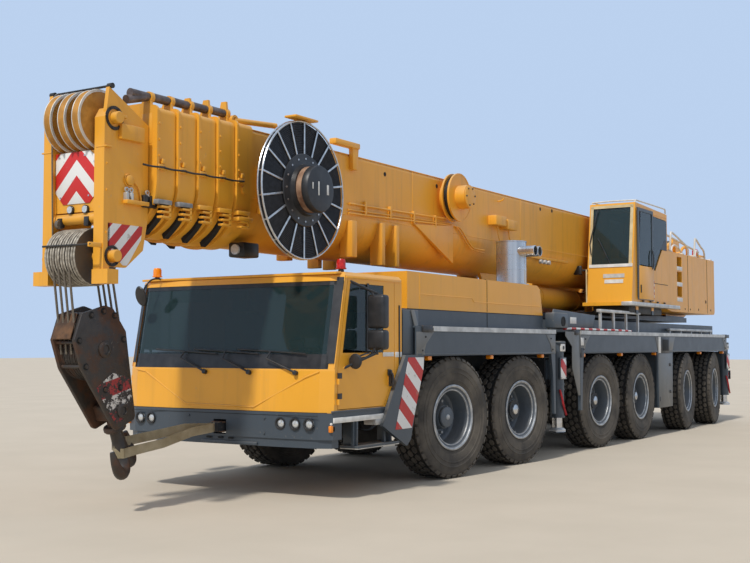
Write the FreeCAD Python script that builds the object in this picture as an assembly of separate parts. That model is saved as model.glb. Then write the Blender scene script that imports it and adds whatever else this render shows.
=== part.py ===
# Six-axle mobile crane in its travel position, in millimetres.
# +X is forward, +Y is the vehicle's left, +Z is up.
# The origin is on the ground below the middle of the machine's overall length.
import FreeCAD, Part
import math
import os

Vec = FreeCAD.Vector
os.makedirs("parts", exist_ok=True)

# Wheels and axles
TYRE_R = 750.0
TYRE_W = 430.0
TYRE_SHOULDER = 40.0
TYRE_TREAD_EDGE = 50.0
TYRE_BULGE_R = 590.0
TYRE_SIDES = 30
RIM_R = 391.0
RIM_SIDES = 18
RIM_WALL = 36.0
RIM_FLANGE_IN = 40.0
RIM_FIT = 0.3
HUB_R = 150.0
DISC_DEPTH = 90.0
DISC_WALL = 28.0
WHEEL_Y = 1275.0
KINGPIN_Y = 1050.0
KINGPIN_R = 70.0
STUB_R = 64.0
HUB_FIT = 0.5
TRUNNION_R = 38.0
TRUNNION_FIT = 0.4
DIFFERENTIAL_R = 200.0
AXLE_Z = TYRE_R
STEER_AT_REST = -9.0

# One row for each axle: distance forward of the origin, share of the first axle's steering angle
AXLES = [
    # x, steer_share
    (3950.0, 1.0),
    (1980.0, 0.72),
    (-1030.0, 0.5),
    (-2950.0, 0.0),
    (-5670.0, -0.6),
    (-7580.0, -0.75),
]

# Running seat between a piece and what it slides or lies on
SEAT = 0.3

# Carrier frame
FRAME_HALF = 400.0
FRAME_BOTTOM = 960.0
FRAME_TOP = 1480.0
FRAME_WALL = 20.0
FRAME_FRONT = 4990.0
FRAME_REAR = -8495.0
TONGUE_BOTTOM = 690.0
BUMPER_BACK = 6590.0
BUMPER_FACE = 6735.0
TOW_PIN_X = 6790.0
TOW_PIN_R = 22.0
DECK_REAR = -8700.0
BODY_HALF = 1500.0
DECK_HALF = BODY_HALF - 250
FENDER_PLATE = 44.0
SHEET = 20.0
SKIRT_BOTTOM = 1515.0
RAIL_BOTTOM = 1810.0
RAIL_TOP = 1870.0
RAIL_PROUD = 22.0
DECK_TOP = 2080.0

# Outriggers: a box across the frame holds two beams, one for each side
BEAM_TALL = 290.0
BEAM_WIDE = 270.0
BEAM_GAP = 8.0
BEAM_WALL = 24.0
JACK_Y = 1372.0
JACK_R = 105.0
BOX_HALF = JACK_Y - JACK_R - 17
JACK_TOP = 1700.0
JACK_TUBE_BOTTOM = 560.0
JACK_ROD_R = 75.0
JACK_FOOT_R = 175.0
JACK_FOOT_Z = 350.0
JACK_FOOT_TALL = 60.0
JACK_GAP = 0.5

# Driver's cab
CAB_REAR = 5240.0
CAB_FRONT_LOW = 6720.0
CAB_FRONT_SILL = 6705.0
CAB_FRONT_ROOF = 6505.0
CAB_HALF = BODY_HALF - 50
CAB_BOTTOM = 930.0
CAB_SILL = 1370.0
CAB_ROOF = 2430.0
CAB_EAVE = CAB_ROOF - 40
CAB_WALL = 45.0
CAB_LEAN = (CAB_FRONT_SILL - CAB_FRONT_ROOF) / (CAB_EAVE - CAB_SILL)
# Front seen from above: distance from the middle plane, distance behind the front's middle
CAB_FACETS = [
    # y, back
    (0.0, 0.0),
    (CAB_HALF - 690, 0.0),
    (CAB_HALF - 150, 30.0),
    (CAB_HALF, 95.0),
]
SCREEN_HALF = CAB_HALF - 70
SCREEN_LOW = 1390.0
SCREEN_HIGH = 2330.0
DOOR_REAR = 5400.0
DOOR_BOTTOM = 960.0
DOOR_TOP = 2370.0
DOOR_GAP = 7.0
DOOR_THICK = 42.0
DOOR_HINGE_X = 6560.0
DOOR_SILL = 1560.0
MIRROR_X = 6090.0
HINGE_R = 16.0
HINGE_TALL = 60.0
HINGE_LEVELS = (1075.0, 1290.0)

# Engine and hood behind the driver's cab
ENGINE_REAR = 2150.0
ENGINE_FRONT = 4300.0
ENGINE_HALF = 430.0
ENGINE_TOP = 2440.0
HOOD_REAR = 1050.0
HOOD_FRONT = 4860.0
HOOD_TOP = 2530.0
HOOD_HALF = BODY_HALF - 200
HOOD_WALL = 18.0
SILENCER_X = 1140.0
SILENCER_Y = HOOD_HALF - 390
SILENCER_R = 225.0
SILENCER_TOP = 3190.0

# Superstructure that slews on the ring
SLEW_X = -4310.0
RING_R = 870.0
PLATE_BOTTOM = 2140.0
PLATE_TOP = 2240.0
PLATE_HALF = 700.0
PLATE_FRONT = -2700.0
PLATE_REAR = -8250.0
TAIL = -9050.0
CHEEK_IN = 565.0
CHEEK_WALL = 60.0
HOUSE_FRONT = -4600.0
HOUSE_REAR = -7850.0
HOUSE_BOTTOM = 2290.0
HOUSE_TOP = 3440.0
HOUSE_HALF = 1430.0
DRUM_X = -8420.0
DRUM_Z = 3640.0
DRUM_R = 330.0
DRUM_CORE_R = 240.0
DRUM_HALF = 360.0

# Crane operator's cab
OPCAB_FRONT = -2620.0
OPCAB_REAR = -4540.0
OPCAB_IN = 630.0
OPCAB_OUT = 1470.0
OPCAB_BOTTOM = 2400.0
OPCAB_SILL = 3010.0
OPCAB_TOP = 4170.0
OPCAB_WALL = 40.0
OPCAB_LEAN = 160.0
OPDOOR_SPLIT = -3600.0
ROOF_WINDOW = (OPCAB_REAR + 840, OPCAB_FRONT - 300)
OPDOOR_THICK = 28.0
OPDOOR_GAP = 8.0

# Boom: nested hollow sections with a round underside
PIVOT_X = -6450.0
PIVOT_Z = 3250.0
PIVOT_R = 110.0
BOOM_HALF = 520.0
BOOM_TOP = 4000.0
BOOM_ROUND_Z = 3240.0
BOOM_WALL = 18.0
BOOM_CORNER = 60.0
SECTION_STEP = 38.0
BASE_REAR = -7000.0
BASE_FRONT = 7150.0
SECTION_REAR_STEP = 180.0
COLLAR_PITCH = 290.0
COLLAR_GAP = 12.0
COLLAR_PROUD = 42.0
COLLAR_PLATE = 30.0
COLLAR_HORN = 210.0
HORN_STEP = 25.0
SECTIONS = 5

# Boom head
HEAD_REAR = 8325.0
HEAD_FRONT = 8915.0
HEAD_HALF = 405.0
HEAD_PLATE = 45.0
HEAD_LOW = 2215.0
POST_WIDE = 130.0
TOP_SHEAVE_X = 8790.0
TOP_SHEAVE_Z = 3790.0
TOP_SHEAVE_R = 290.0
LOW_SHEAVE_X = 8800.0
LOW_SHEAVE_Z = 2480.0
LOW_SHEAVE_R = 270.0
LOW_SHEAVES_Y = (-175.0, -105.0, -35.0, 35.0, 105.0, 175.0)
SHEAVE_GROOVE = 22.0
SHEAVE_SIDES = 24
HEAD_PIN_R = 58.0

# Hook block, pulled back by its tie strap
BLOCK_TILT = -22.0
BLOCK_PIN_X = 8640.0
BLOCK_PIN_Z = 1600.0
BLOCK_HALF = 165.0
BLOCK_PLATE = 40.0
BLOCK_SHEAVE_R = 300.0
HOOK_DROP = 1110.0
HOOK_OUT_R = 190.0
HOOK_IN_R = 100.0
HOOK_HALF = 45.0
ROPE_R = 12.0
ROPES_Y = LOW_SHEAVES_Y[1:5]

# Cable reel on the boom's left side
REEL_X = 6480.0
REEL_Z = 3330.0
REEL_R = 765.0
REEL_IN = 930.0
REEL_WIDE = 60.0
REEL_HUB_R = 250.0
REEL_FLANGE_R = 400.0
REEL_HUB_OUT = 1180.0
SMALL_REEL_X = 2420.0
SMALL_REEL_Z = 3720.0
SMALL_REEL_R = 335.0

# Luffing cylinder under the boom
LIFT_LOW_X = -3750.0
LIFT_LOW_Z = 2470.0
LIFT_HIGH_X = 450.0
LIFT_HIGH_Z = 2500.0
LIFT_R = 185.0
LIFT_ROD_R = 130.0
LIFT_BARREL = 3860.0
LIFT_BORE_START = 220.0
LIFT_ROD_START = 240.0
LIFT_EYE_HALF = 145.0
LIFT_LUG = 210.0
LIFT_PIN_R = 70.0
PIN_FIT = 0.5


# Shared shape builders
def box(x, y, z):
    return Part.makeBox(x[1] - x[0], y[1] - y[0], z[1] - z[0], Vec(x[0], y[0], z[0]))


def bar(radius, start, end):
    line = end - start
    return Part.makeCylinder(radius, line.Length, start, line)


def bar_x(radius, x, y, z):
    return bar(radius, Vec(x[0], y, z), Vec(x[1], y, z))


def bar_y(radius, x, y, z):
    return bar(radius, Vec(x, y[0], z), Vec(x, y[1], z))


def bar_z(radius, x, y, z):
    return bar(radius, Vec(x, y, z[0]), Vec(x, y, z[1]))


def side_plate(points, y):
    """Polygon of (x, z) points, as thick as the two y values."""
    outline = [Vec(px, y[0], pz) for px, pz in points]
    face = Part.Face(Part.makePolygon(outline + outline[:1]))
    return face.extrude(Vec(0, y[1] - y[0], 0))


def cross_plate(points, x):
    """Polygon of (y, z) points, as thick as the two x values."""
    outline = [Vec(x[0], py, pz) for py, pz in points]
    face = Part.Face(Part.makePolygon(outline + outline[:1]))
    return face.extrude(Vec(x[1] - x[0], 0, 0))


def flat_plate(points, z):
    """Polygon of (x, y) points, as thick as the two z values."""
    outline = [Vec(px, py, z[0]) for px, py in points]
    face = Part.Face(Part.makePolygon(outline + outline[:1]))
    return face.extrude(Vec(0, 0, z[1] - z[0]))


def closed(faces):
    """Solid inside the faces, turned outwards."""
    solid = Part.Solid(Part.makeShell(faces))
    if solid.Volume < 0:
        solid.reverse()
    return solid


def stacked(outlines):
    """Solid with flat faces between outlines of equally many points, the lowest first."""
    faces = [Part.Face(Part.makePolygon(outline + outline[:1])) for outline in (outlines[0], outlines[-1])]
    for low, high in zip(outlines, outlines[1:]):
        for point in range(len(low)):
            after = (point + 1) % len(low)
            corners = [low[point], low[after], high[after], high[point]]
            faces.append(Part.Face(Part.makePolygon(corners + corners[:1])))
    return closed(faces)


def fused(shapes):
    joined = shapes[0]
    if len(shapes) > 1:
        joined = shapes[0].multiFuse(shapes[1:])
    return joined.removeSplitter()


def many_sided_ring(profile, sides, x, y, z):
    """Ring of flat facets about the Y direction from (radius, y offset) points, flat side down."""
    half_step = math.pi / sides
    stretch = 1.0 / math.cos(half_step)
    rows = []
    for turn in range(sides):
        angle = -math.pi / 2 + half_step * (2 * turn + 1)
        rows.append([
            Vec(x + stretch * radius * math.cos(angle), y + offset, z + stretch * radius * math.sin(angle))
            for radius, offset in profile
        ])
    faces = []
    for turn in range(sides):
        this_row, next_row = rows[turn], rows[(turn + 1) % sides]
        for point in range(len(profile)):
            after = (point + 1) % len(profile)
            corners = [this_row[point], this_row[after], next_row[after], next_row[point]]
            faces.append(Part.Face(Part.makePolygon(corners + corners[:1])))
    return closed(faces)


def write(name, shapes):
    """One file for the node, holding solids that don't touch."""
    solids = [solid for shape in shapes for solid in shape.Solids]
    Part.Compound(solids).exportStep("parts/%s.step" % name)


# Wheels: tyre and rim, turned about the kingpin as the photograph shows
def turned_about_kingpin(shape, x, side, share):
    turned = shape.copy()
    turned.rotate(Vec(x, side * KINGPIN_Y, 0), Vec(0, 0, 1), STEER_AT_REST * share)
    return turned


def tyre(x, side):
    half = TYRE_W / 2
    profile = [
        (TYRE_R, -(half - TYRE_TREAD_EDGE)), (TYRE_R, half - TYRE_TREAD_EDGE),
        (TYRE_R - TYRE_SHOULDER, half - 12), (TYRE_BULGE_R, half),
        (RIM_R + RIM_FIT, half - 42), (RIM_R + RIM_FIT, 42 - half),
        (TYRE_BULGE_R, -half), (TYRE_R - TYRE_SHOULDER, 12 - half),
    ]
    return many_sided_ring(profile, TYRE_SIDES, x, side * WHEEL_Y, AXLE_Z)


def rim(x, side):
    lip = TYRE_W / 2 - RIM_FLANGE_IN
    # radius, distance outwards from the wheel's middle
    outline = [
        (RIM_R * math.cos(math.pi / RIM_SIDES), -lip), (RIM_R * math.cos(math.pi / RIM_SIDES), lip),
        (RIM_R - RIM_WALL, lip), (RIM_R - RIM_WALL - 8, DISC_WALL - DISC_DEPTH),
        (HUB_R, -DISC_DEPTH + 8), (HUB_R - 10, 60), (STUB_R + HUB_FIT, 60),
        (STUB_R + HUB_FIT, -DISC_DEPTH - DISC_WALL), (RIM_R - RIM_WALL - 8, -DISC_DEPTH - DISC_WALL),
    ]
    profile = [(radius, side * offset) for radius, offset in outline]
    return many_sided_ring(profile, RIM_SIDES, x, side * WHEEL_Y, AXLE_Z)


# Knuckle: kingpin housing, stub axle and steering arm of one steered wheel
def knuckle(x, side):
    housing = bar_z(KINGPIN_R, x, side * KINGPIN_Y, (AXLE_Z - 130, AXLE_Z + 130))
    trunnion = bar_z(TRUNNION_R, x, side * KINGPIN_Y, (AXLE_Z - 190, AXLE_Z + 190))
    stub = bar_y(STUB_R, x, (side * KINGPIN_Y, side * (WHEEL_Y + 70)), AXLE_Z)
    cap = bar_y(HUB_R - 20, x, (side * (WHEEL_Y + 66), side * (WHEEL_Y + 84)), AXLE_Z)
    arm_y = sorted((side * KINGPIN_Y, side * (KINGPIN_Y - 130)))
    arm = box((x - 260, x - 30), arm_y, (AXLE_Z - 125, AXLE_Z - 85))
    arm = arm.cut(bar_z(22, x - 225, side * (KINGPIN_Y - 70), (AXLE_Z - 130, AXLE_Z - 80)))
    return fused([housing, trunnion, stub, cap, arm])


# Axle beams: one banjo housing for each axle, with a fork that holds each kingpin
def axle_beam(x, share):
    tube = bar_y(120, x, (-780, 780), AXLE_Z)
    banjo = bar_y(DIFFERENTIAL_R, x, (-150, 150), AXLE_Z)
    pieces = [tube, banjo]
    for side in (1, -1):
        reach = sorted((side * 760, side * (KINGPIN_Y + 60)))
        if share:
            for low, high in ((AXLE_Z - 190, AXLE_Z - 136), (AXLE_Z + 136, AXLE_Z + 190)):
                pieces.append(box((x - 60, x + 60), reach, (low, high)))
            pieces.append(box((x - 90, x + 90), sorted((side * 730, side * 790)), (AXLE_Z - 190, AXLE_Z + 190)))
        else:
            pieces.append(bar_y(STUB_R, x, sorted((side * 770, side * (WHEEL_Y + 70))), AXLE_Z))
            pieces.append(bar_y(HUB_R - 20, x, sorted((side * (WHEEL_Y + 66), side * (WHEEL_Y + 84))), AXLE_Z))
        for offset in (-1, 1):
            pieces.append(bar_z(45, x + offset * 200, side * 330, (AXLE_Z - 40, FRAME_BOTTOM)))
            pieces.append(box(
                sorted((x, x + offset * 245)), (side * 330 - 60, side * 330 + 60), (AXLE_Z - 60, AXLE_Z + 20)))
    beam = fused(pieces)
    if share:
        for side in (1, -1):
            beam = beam.cut(bar_z(TRUNNION_R + TRUNNION_FIT, x, side * KINGPIN_Y, (AXLE_Z - 200, AXLE_Z + 200)))
    return beam


# Outrigger beams: name, x of the beam's middle, side, z of its lower face
OUTRIGGERS = [
    # place, x, side, low_z
    ("front_left", 560.0, 1, 1130.0),
    ("front_right", 265.0, -1, 1130.0),
    ("rear_left", -8650.0, 1, 1180.0),
    ("rear_right", -8650.0, -1, 860.0),
]
# Boxes across the frame: x range, z range
OUTRIGGER_BOXES = [
    # x_low, x_high, z_low, z_high
    (85.0, 740.0, 1095.0, 1455.0),
    (-8820.0, -8480.0, 825.0, 1505.0),
]


def outrigger_beam(x, side, low):
    half = BEAM_WIDE / 2
    tube = box((x - half, x + half), sorted((side * -1200, side * 1262)), (low, low + BEAM_TALL))
    hollow = box(
        (x - half + BEAM_WALL, x + half - BEAM_WALL), sorted((side * -1200, side * 1180)),
        (low + BEAM_WALL, low + BEAM_TALL - BEAM_WALL))
    jack_y = side * JACK_Y
    jack = bar_z(JACK_R, x, jack_y, (JACK_TUBE_BOTTOM, JACK_TOP))
    lug = box((x - half + 20, x + half - 20), sorted((side * 1255, jack_y)), (low, low + BEAM_TALL))
    bore = bar_z(JACK_ROD_R + JACK_GAP, x, jack_y, (JACK_TUBE_BOTTOM - 5, JACK_TOP - 80))
    return fused([tube.cut(hollow), lug, jack]).cut(bore)


def outrigger_jack(x, side):
    jack_y = side * JACK_Y
    rod = bar_z(JACK_ROD_R, x, jack_y, (JACK_FOOT_Z + JACK_FOOT_TALL - 10, JACK_TOP - 90))
    foot = Part.makeCone(
        JACK_FOOT_R * 0.72, JACK_FOOT_R * 0.5, JACK_FOOT_TALL, Vec(x, jack_y, JACK_FOOT_Z), Vec(0, 0, 1))
    return fused([rod, foot])


# Carrier frame: box girder with the outrigger boxes, slewing pedestal and towing coupling
def chassis_frame():
    girder = box((FRAME_REAR, FRAME_FRONT), (-FRAME_HALF, FRAME_HALF), (FRAME_BOTTOM, FRAME_TOP))
    core = box(
        (FRAME_REAR + 60, FRAME_FRONT - 60), (FRAME_WALL - FRAME_HALF, FRAME_HALF - FRAME_WALL),
        (FRAME_BOTTOM + FRAME_WALL, FRAME_TOP - FRAME_WALL))
    pieces = [girder.cut(core)]
    for x_low, x_high, z_low, z_high in OUTRIGGER_BOXES:
        pieces.append(box((x_low, x_high), (-BOX_HALF, BOX_HALF), (z_low, z_high)))
    pedestal = Part.makeCone(
        RING_R, RING_R - 90, DECK_TOP - FRAME_TOP + 10, Vec(SLEW_X, 0, FRAME_TOP - 10), Vec(0, 0, 1))
    ring = bar_z(RING_R - 60, SLEW_X, 0, (DECK_TOP - 10, PLATE_BOTTOM - SEAT))
    # Low tongue under the driver's cab, with the cross member behind the bumper
    cab_seat = CAB_BOTTOM - SEAT
    tongue = side_plate(
        [(FRAME_FRONT - 490, FRAME_BOTTOM + 10), (FRAME_FRONT, FRAME_BOTTOM + 10), (FRAME_FRONT, cab_seat),
         (BUMPER_BACK - SEAT, cab_seat), (BUMPER_BACK - SEAT, TONGUE_BOTTOM), (FRAME_FRONT + 10, TONGUE_BOTTOM)],
        (-FRAME_HALF, FRAME_HALF))
    cross_member = box((BUMPER_BACK - 150, BUMPER_BACK - SEAT), (-1000, 1000), (TONGUE_BOTTOM, cab_seat - 5))
    coupling = box((BUMPER_BACK - 20, TOW_PIN_X + 50), (-60, 60), (700, 800))
    coupling = coupling.cut(bar_z(TOW_PIN_R, TOW_PIN_X, 0, (695, 805)))
    frame = fused(pieces + [pedestal, ring, tongue, cross_member, coupling])
    for place, x, side, low in OUTRIGGERS:
        reach = BEAM_WIDE / 2 + BEAM_GAP
        frame = frame.cut(box(
            (x - reach, x + reach), (-BOX_HALF - 5, BOX_HALF + 5), (low - SEAT, low + BEAM_TALL + BEAM_GAP)))
    return frame


# Carrier body: skirts above the tyres, end plates beside them, deck, lockers and steps
# Side skirts and the deck sheet above them
SKIRTS = [
    # x_low, x_high, sheet_low
    (900.0, 4990.0, -70.0),
    (-8470.0, -60.0, -8700.0),
]
# Cross members that carry the deck on the frame: x_low, x_high
CROSS_MEMBERS = [
    (4700.0, 4850.0),
    (2700.0, 2860.0),
    (950.0, 1060.0),
    (-2080.0, -1920.0),
    (-6700.0, -6560.0),
    (-8460.0, -8320.0),
]
# End plates: points (x, z) of a plate that runs down behind or ahead of a pair of tyres
END_PLATES = [
    [(5730, 745), (5720, 780), (5250, 1505), (5235, 1530), (4800, 1530), (5120, 560), (5210, 490)],
    [(1060, 1530), (905, 1530), (905, 640), (960, 640), (990, 1200)],
    [(-60, 1530), (-210, 1530), (-165, 1150), (-130, 640), (-60, 640)],
    [(-3790, 1530), (-4690, 1530), (-4640, 500), (-3840, 500)],
]


def carrier_deck():
    inner = BODY_HALF - SHEET
    pieces = []
    for x_low, x_high, sheet_low in SKIRTS:
        for side in (1, -1):
            wall = sorted((side * inner, side * BODY_HALF))
            pieces.append(box((x_low, x_high), wall, (SKIRT_BOTTOM, RAIL_TOP)))
        pieces.append(box((x_low, x_high), (-BODY_HALF, BODY_HALF), (RAIL_TOP - SHEET, RAIL_TOP)))
        pieces.append(box((sheet_low, x_high), (500 - BODY_HALF, BODY_HALF - 500), (RAIL_TOP - SHEET, RAIL_TOP)))
    # Rear edge over the outriggers
    pieces.append(box((DECK_REAR, -8460), (-BODY_HALF, BODY_HALF), (RAIL_BOTTOM - 10, RAIL_TOP)))
    # Plinth under the hood
    plinth = box((HOOD_REAR - 150, HOOD_FRONT), (-HOOD_HALF, HOOD_HALF), (RAIL_TOP - SHEET, DECK_TOP))
    hole = box((HOOD_REAR + 60, HOOD_FRONT - 60), (60 - HOOD_HALF, HOOD_HALF - 60), (RAIL_TOP, DECK_TOP + 5))
    well = bar_z(SILENCER_R + 12, SILENCER_X, SILENCER_Y, (RAIL_TOP, DECK_TOP + 5))
    pieces.append(plinth.cut(hole).cut(well))
    # Grey wall between the driver's cab and the hood
    pieces.append(box((HOOD_FRONT - 10, CAB_REAR - 12), (-HOOD_HALF, HOOD_HALF), (SKIRT_BOTTOM, DECK_TOP)))
    # Raised deck around the slewing pedestal
    deck = box((-8300, -500), (-DECK_HALF, DECK_HALF), (RAIL_TOP - SHEET, 2060))
    deck = deck.cut(box((-8280, -520), (20 - DECK_HALF, DECK_HALF - 20), (RAIL_TOP - 30, 2040)))
    pieces.append(deck)
    for x_low, x_high in CROSS_MEMBERS:
        pieces.append(box((x_low, x_high), (-inner, inner), (SKIRT_BOTTOM, RAIL_TOP - SHEET)))
        pieces.append(box((x_low, x_high), (20 - FRAME_HALF, FRAME_HALF - 20), (FRAME_TOP + SEAT, SKIRT_BOTTOM + 5)))
    for points in END_PLATES:
        for side in (1, -1):
            pieces.append(side_plate(points, sorted((side * (BODY_HALF - FENDER_PLATE), side * BODY_HALF))))
    # Lockers between the fourth and fifth axles
    for side in (1, -1):
        pieces.append(box((-4640, -3840), sorted((side * (BODY_HALF - 500), side * BODY_HALF)), (500, 1520)))
    body = fused(pieces)
    engine_room = box(
        (ENGINE_REAR - 20, ENGINE_FRONT + 20), (-ENGINE_HALF - 20, ENGINE_HALF + 20), (FRAME_TOP, DECK_TOP + 5))
    body = body.cut(engine_room)
    return body.cut(bar_z(RING_R + 40, SLEW_X, 0, (RAIL_TOP - 60, 2100)))


def deck_rails():
    pieces = []
    for x_low, x_high in ((920.0, 4610.0), (-8290.0, -60.0)):
        for side in (1, -1):
            y = sorted((side * BODY_HALF, side * (BODY_HALF + RAIL_PROUD)))
            pieces.append(box((x_low, x_high), y, (RAIL_BOTTOM, RAIL_TOP)))
    return pieces


# Driver's cab: hollow body with a windscreen opening and two door openings
def cab_front_back(y):
    """How far the curved front lies behind its middle, y away from the middle plane."""
    for (y_in, back_in), (y_out, back_out) in zip(CAB_FACETS, CAB_FACETS[1:]):
        if y <= y_out:
            return back_in + (back_out - back_in) * (y - y_in) / (y_out - y_in)
    return CAB_FACETS[-1][1]


def cab_front(z):
    """Front of the cab's middle above the sill."""
    return CAB_FRONT_SILL - CAB_LEAN * (z - CAB_SILL)


def cab_arc(front, half, z):
    """Front line of the cab at one level, from the right side to the left one."""
    reach = [half, CAB_FACETS[2][0], CAB_FACETS[1][0]]
    offsets = [-y for y in reach] + reach[::-1]
    return [Vec(front - cab_front_back(abs(y)), y, z) for y in offsets]


def cab_level(front, rear, half, z):
    return cab_arc(front, half, z) + [Vec(rear, half, z), Vec(rear, -half, z)]


def driver_cab():
    shell = stacked([
        cab_level(CAB_FRONT_LOW, CAB_REAR, CAB_HALF, CAB_BOTTOM),
        cab_level(CAB_FRONT_SILL, CAB_REAR, CAB_HALF, CAB_SILL),
        cab_level(CAB_FRONT_ROOF, CAB_REAR, CAB_HALF, CAB_EAVE),
        cab_level(CAB_FRONT_ROOF - 60, CAB_REAR, CAB_HALF - 40, CAB_ROOF),
    ])
    inner_rear, inner_half, inner_top = CAB_REAR + CAB_WALL, CAB_HALF - CAB_WALL, CAB_ROOF - CAB_WALL
    room = stacked([
        cab_level(CAB_FRONT_LOW - 55, inner_rear, inner_half, CAB_BOTTOM + CAB_WALL),
        cab_level(CAB_FRONT_SILL - 55, inner_rear, inner_half, CAB_SILL),
        cab_level(cab_front(inner_top) - 55, inner_rear, inner_half, inner_top),
    ])
    cab = shell.cut(room)
    screen = box(
        (CAB_FRONT_ROOF - 320, CAB_FRONT_LOW + 10), (-SCREEN_HALF, SCREEN_HALF), (SCREEN_LOW, SCREEN_HIGH))
    cab = cab.cut(screen)
    hinges = []
    for side in (1, -1):
        wall = sorted((side * (CAB_HALF - CAB_WALL - 5), side * (CAB_HALF + 5)))
        cab = cab.cut(side_plate(door_outline(0), wall))
        for barrel in hinge_barrels(side, 0, 3):
            cab = cab.cut(barrel)
        hinges += hinge_barrels(side, -HINGE_TALL - SEAT, 0) + hinge_leaves(side, -HINGE_TALL - SEAT, 60)
    return [fused([cab] + hinges)]


def door_outline(inset):
    """Door as (x, z) points: rear edge cut back over the fender, front edge that follows the pillar."""
    top_front = DOOR_HINGE_X - CAB_LEAN * (DOOR_TOP - CAB_SILL)
    return [
        (DOOR_REAR + inset, DOOR_BOTTOM + 370), (DOOR_REAR + 240 + inset * 0.6, DOOR_BOTTOM + inset),
        (DOOR_HINGE_X - inset, DOOR_BOTTOM + inset), (DOOR_HINGE_X - inset, CAB_SILL),
        (top_front - inset, DOOR_TOP - inset), (DOOR_REAR + inset, DOOR_TOP - inset),
    ]


def hinge_barrels(side, lift, grow):
    """Two barrels on the door's hinge line, raised and swollen by the amounts given."""
    x, y = DOOR_HINGE_X - DOOR_GAP / 2, side * (CAB_HALF + 10)
    return [
        bar_z(HINGE_R + grow, x, y, (level + lift - grow, level + lift + HINGE_TALL + grow))
        for level in HINGE_LEVELS
    ]


def hinge_leaves(side, lift, reach):
    """Leaves that hold the barrels, forward for a positive reach and rearward for a negative one."""
    x = sorted((DOOR_HINGE_X - DOOR_GAP / 2, DOOR_HINGE_X - DOOR_GAP / 2 + reach))
    y = sorted((side * (CAB_HALF - 2), side * (CAB_HALF + 6)))
    return [box(x, y, (level + lift, level + lift + HINGE_TALL)) for level in HINGE_LEVELS]


def cab_door(side):
    y = sorted((side * (CAB_HALF - DOOR_THICK), side * CAB_HALF))
    panel = side_plate(door_outline(DOOR_GAP), y)
    window_top = DOOR_TOP - 60
    pillar_low, pillar_high = [DOOR_HINGE_X - 60 - CAB_LEAN * (z - CAB_SILL) for z in (DOOR_SILL, window_top)]
    window = side_plate(
        [(DOOR_REAR + 235, DOOR_SILL), (pillar_low, DOOR_SILL), (pillar_high, window_top),
         (DOOR_REAR + 235, window_top)], (y[0] - 5, y[1] + 5))
    panel = panel.cut(window)
    for barrel in hinge_barrels(side, -HINGE_TALL - SEAT, 3):
        panel = panel.cut(barrel)
    out = side * (CAB_HALF + 200)
    arm_low = bar(14, Vec(DOOR_HINGE_X - 120, side * (CAB_HALF - 10), 1395), Vec(MIRROR_X, out, 1560))
    arm_high = bar(14, Vec(DOOR_HINGE_X - 240, side * (CAB_HALF - 10), DOOR_TOP - 35), Vec(MIRROR_X, out, 2200))
    post = bar_z(14, MIRROR_X, out, (1540, 2215))
    mirrors = [
        box((MIRROR_X - 60, MIRROR_X + 30), (out - 100, out + 100), (1830, 2180)),
        box((MIRROR_X - 60, MIRROR_X + 30), (out - 100, out + 100), (1600, 1800)),
    ]
    handle_y = sorted((side * (CAB_HALF - 5), side * (CAB_HALF + 40)))
    handle = box((DOOR_REAR + 115, DOOR_REAR + 143), handle_y, (1200, 1360))
    hinges = hinge_barrels(side, 0, 0) + hinge_leaves(side, 0, -75)
    return fused([panel, arm_low, arm_high, post, handle] + mirrors + hinges)


def driver_cab_glass():
    half = SCREEN_HALF - SEAT
    outlines = []
    for z in (SCREEN_LOW + SEAT, SCREEN_HIGH - SEAT):
        outlines.append(cab_arc(cab_front(z) - 12, half, z) + cab_arc(cab_front(z) - 22, half, z)[::-1])
    return [stacked(outlines)]


def driver_cab_interior():
    """Dashboard, steering column and two seats on the cab's floor."""
    floor = CAB_BOTTOM + CAB_WALL
    front = CAB_FRONT_LOW - 140
    dash = side_plate(
        [(front - 280, floor), (front, floor), (front - 10, 1300), (front - 120, 1370), (front - 360, 1300)],
        (150 - CAB_HALF, CAB_HALF - 150))
    pieces = [dash]
    driver_y = CAB_HALF - 670
    rear = CAB_REAR + 270
    for y in (driver_y, 740 - CAB_HALF):
        seat = side_plate(
            [(rear, floor), (rear + 400, floor), (rear + 500, 1330), (rear + 500, 1440), (rear + 70, 1420),
             (rear - 80, 2020), (rear - 180, 2010), (rear - 50, 1330)], (y - 230, y + 230))
        pieces.append(seat)
    column = bar(32, Vec(front - 330, driver_y, 1290), Vec(front - 440, driver_y, 1500))
    wheel = many_sided_ring([(222, -12), (222, 12), (196, 12), (196, -12)], 20, 0, 0, 0)
    wheel.rotate(Vec(0, 0, 0), Vec(1, 0, 0), 90)
    wheel.rotate(Vec(0, 0, 0), Vec(0, 1, 0), -27)
    wheel.translate(Vec(front - 435, driver_y, 1492))
    spoke = bar(14, Vec(front - 435, driver_y - 205, 1492), Vec(front - 435, driver_y + 205, 1492))
    pieces[0] = fused([dash, column, wheel, spoke])
    return pieces


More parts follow.
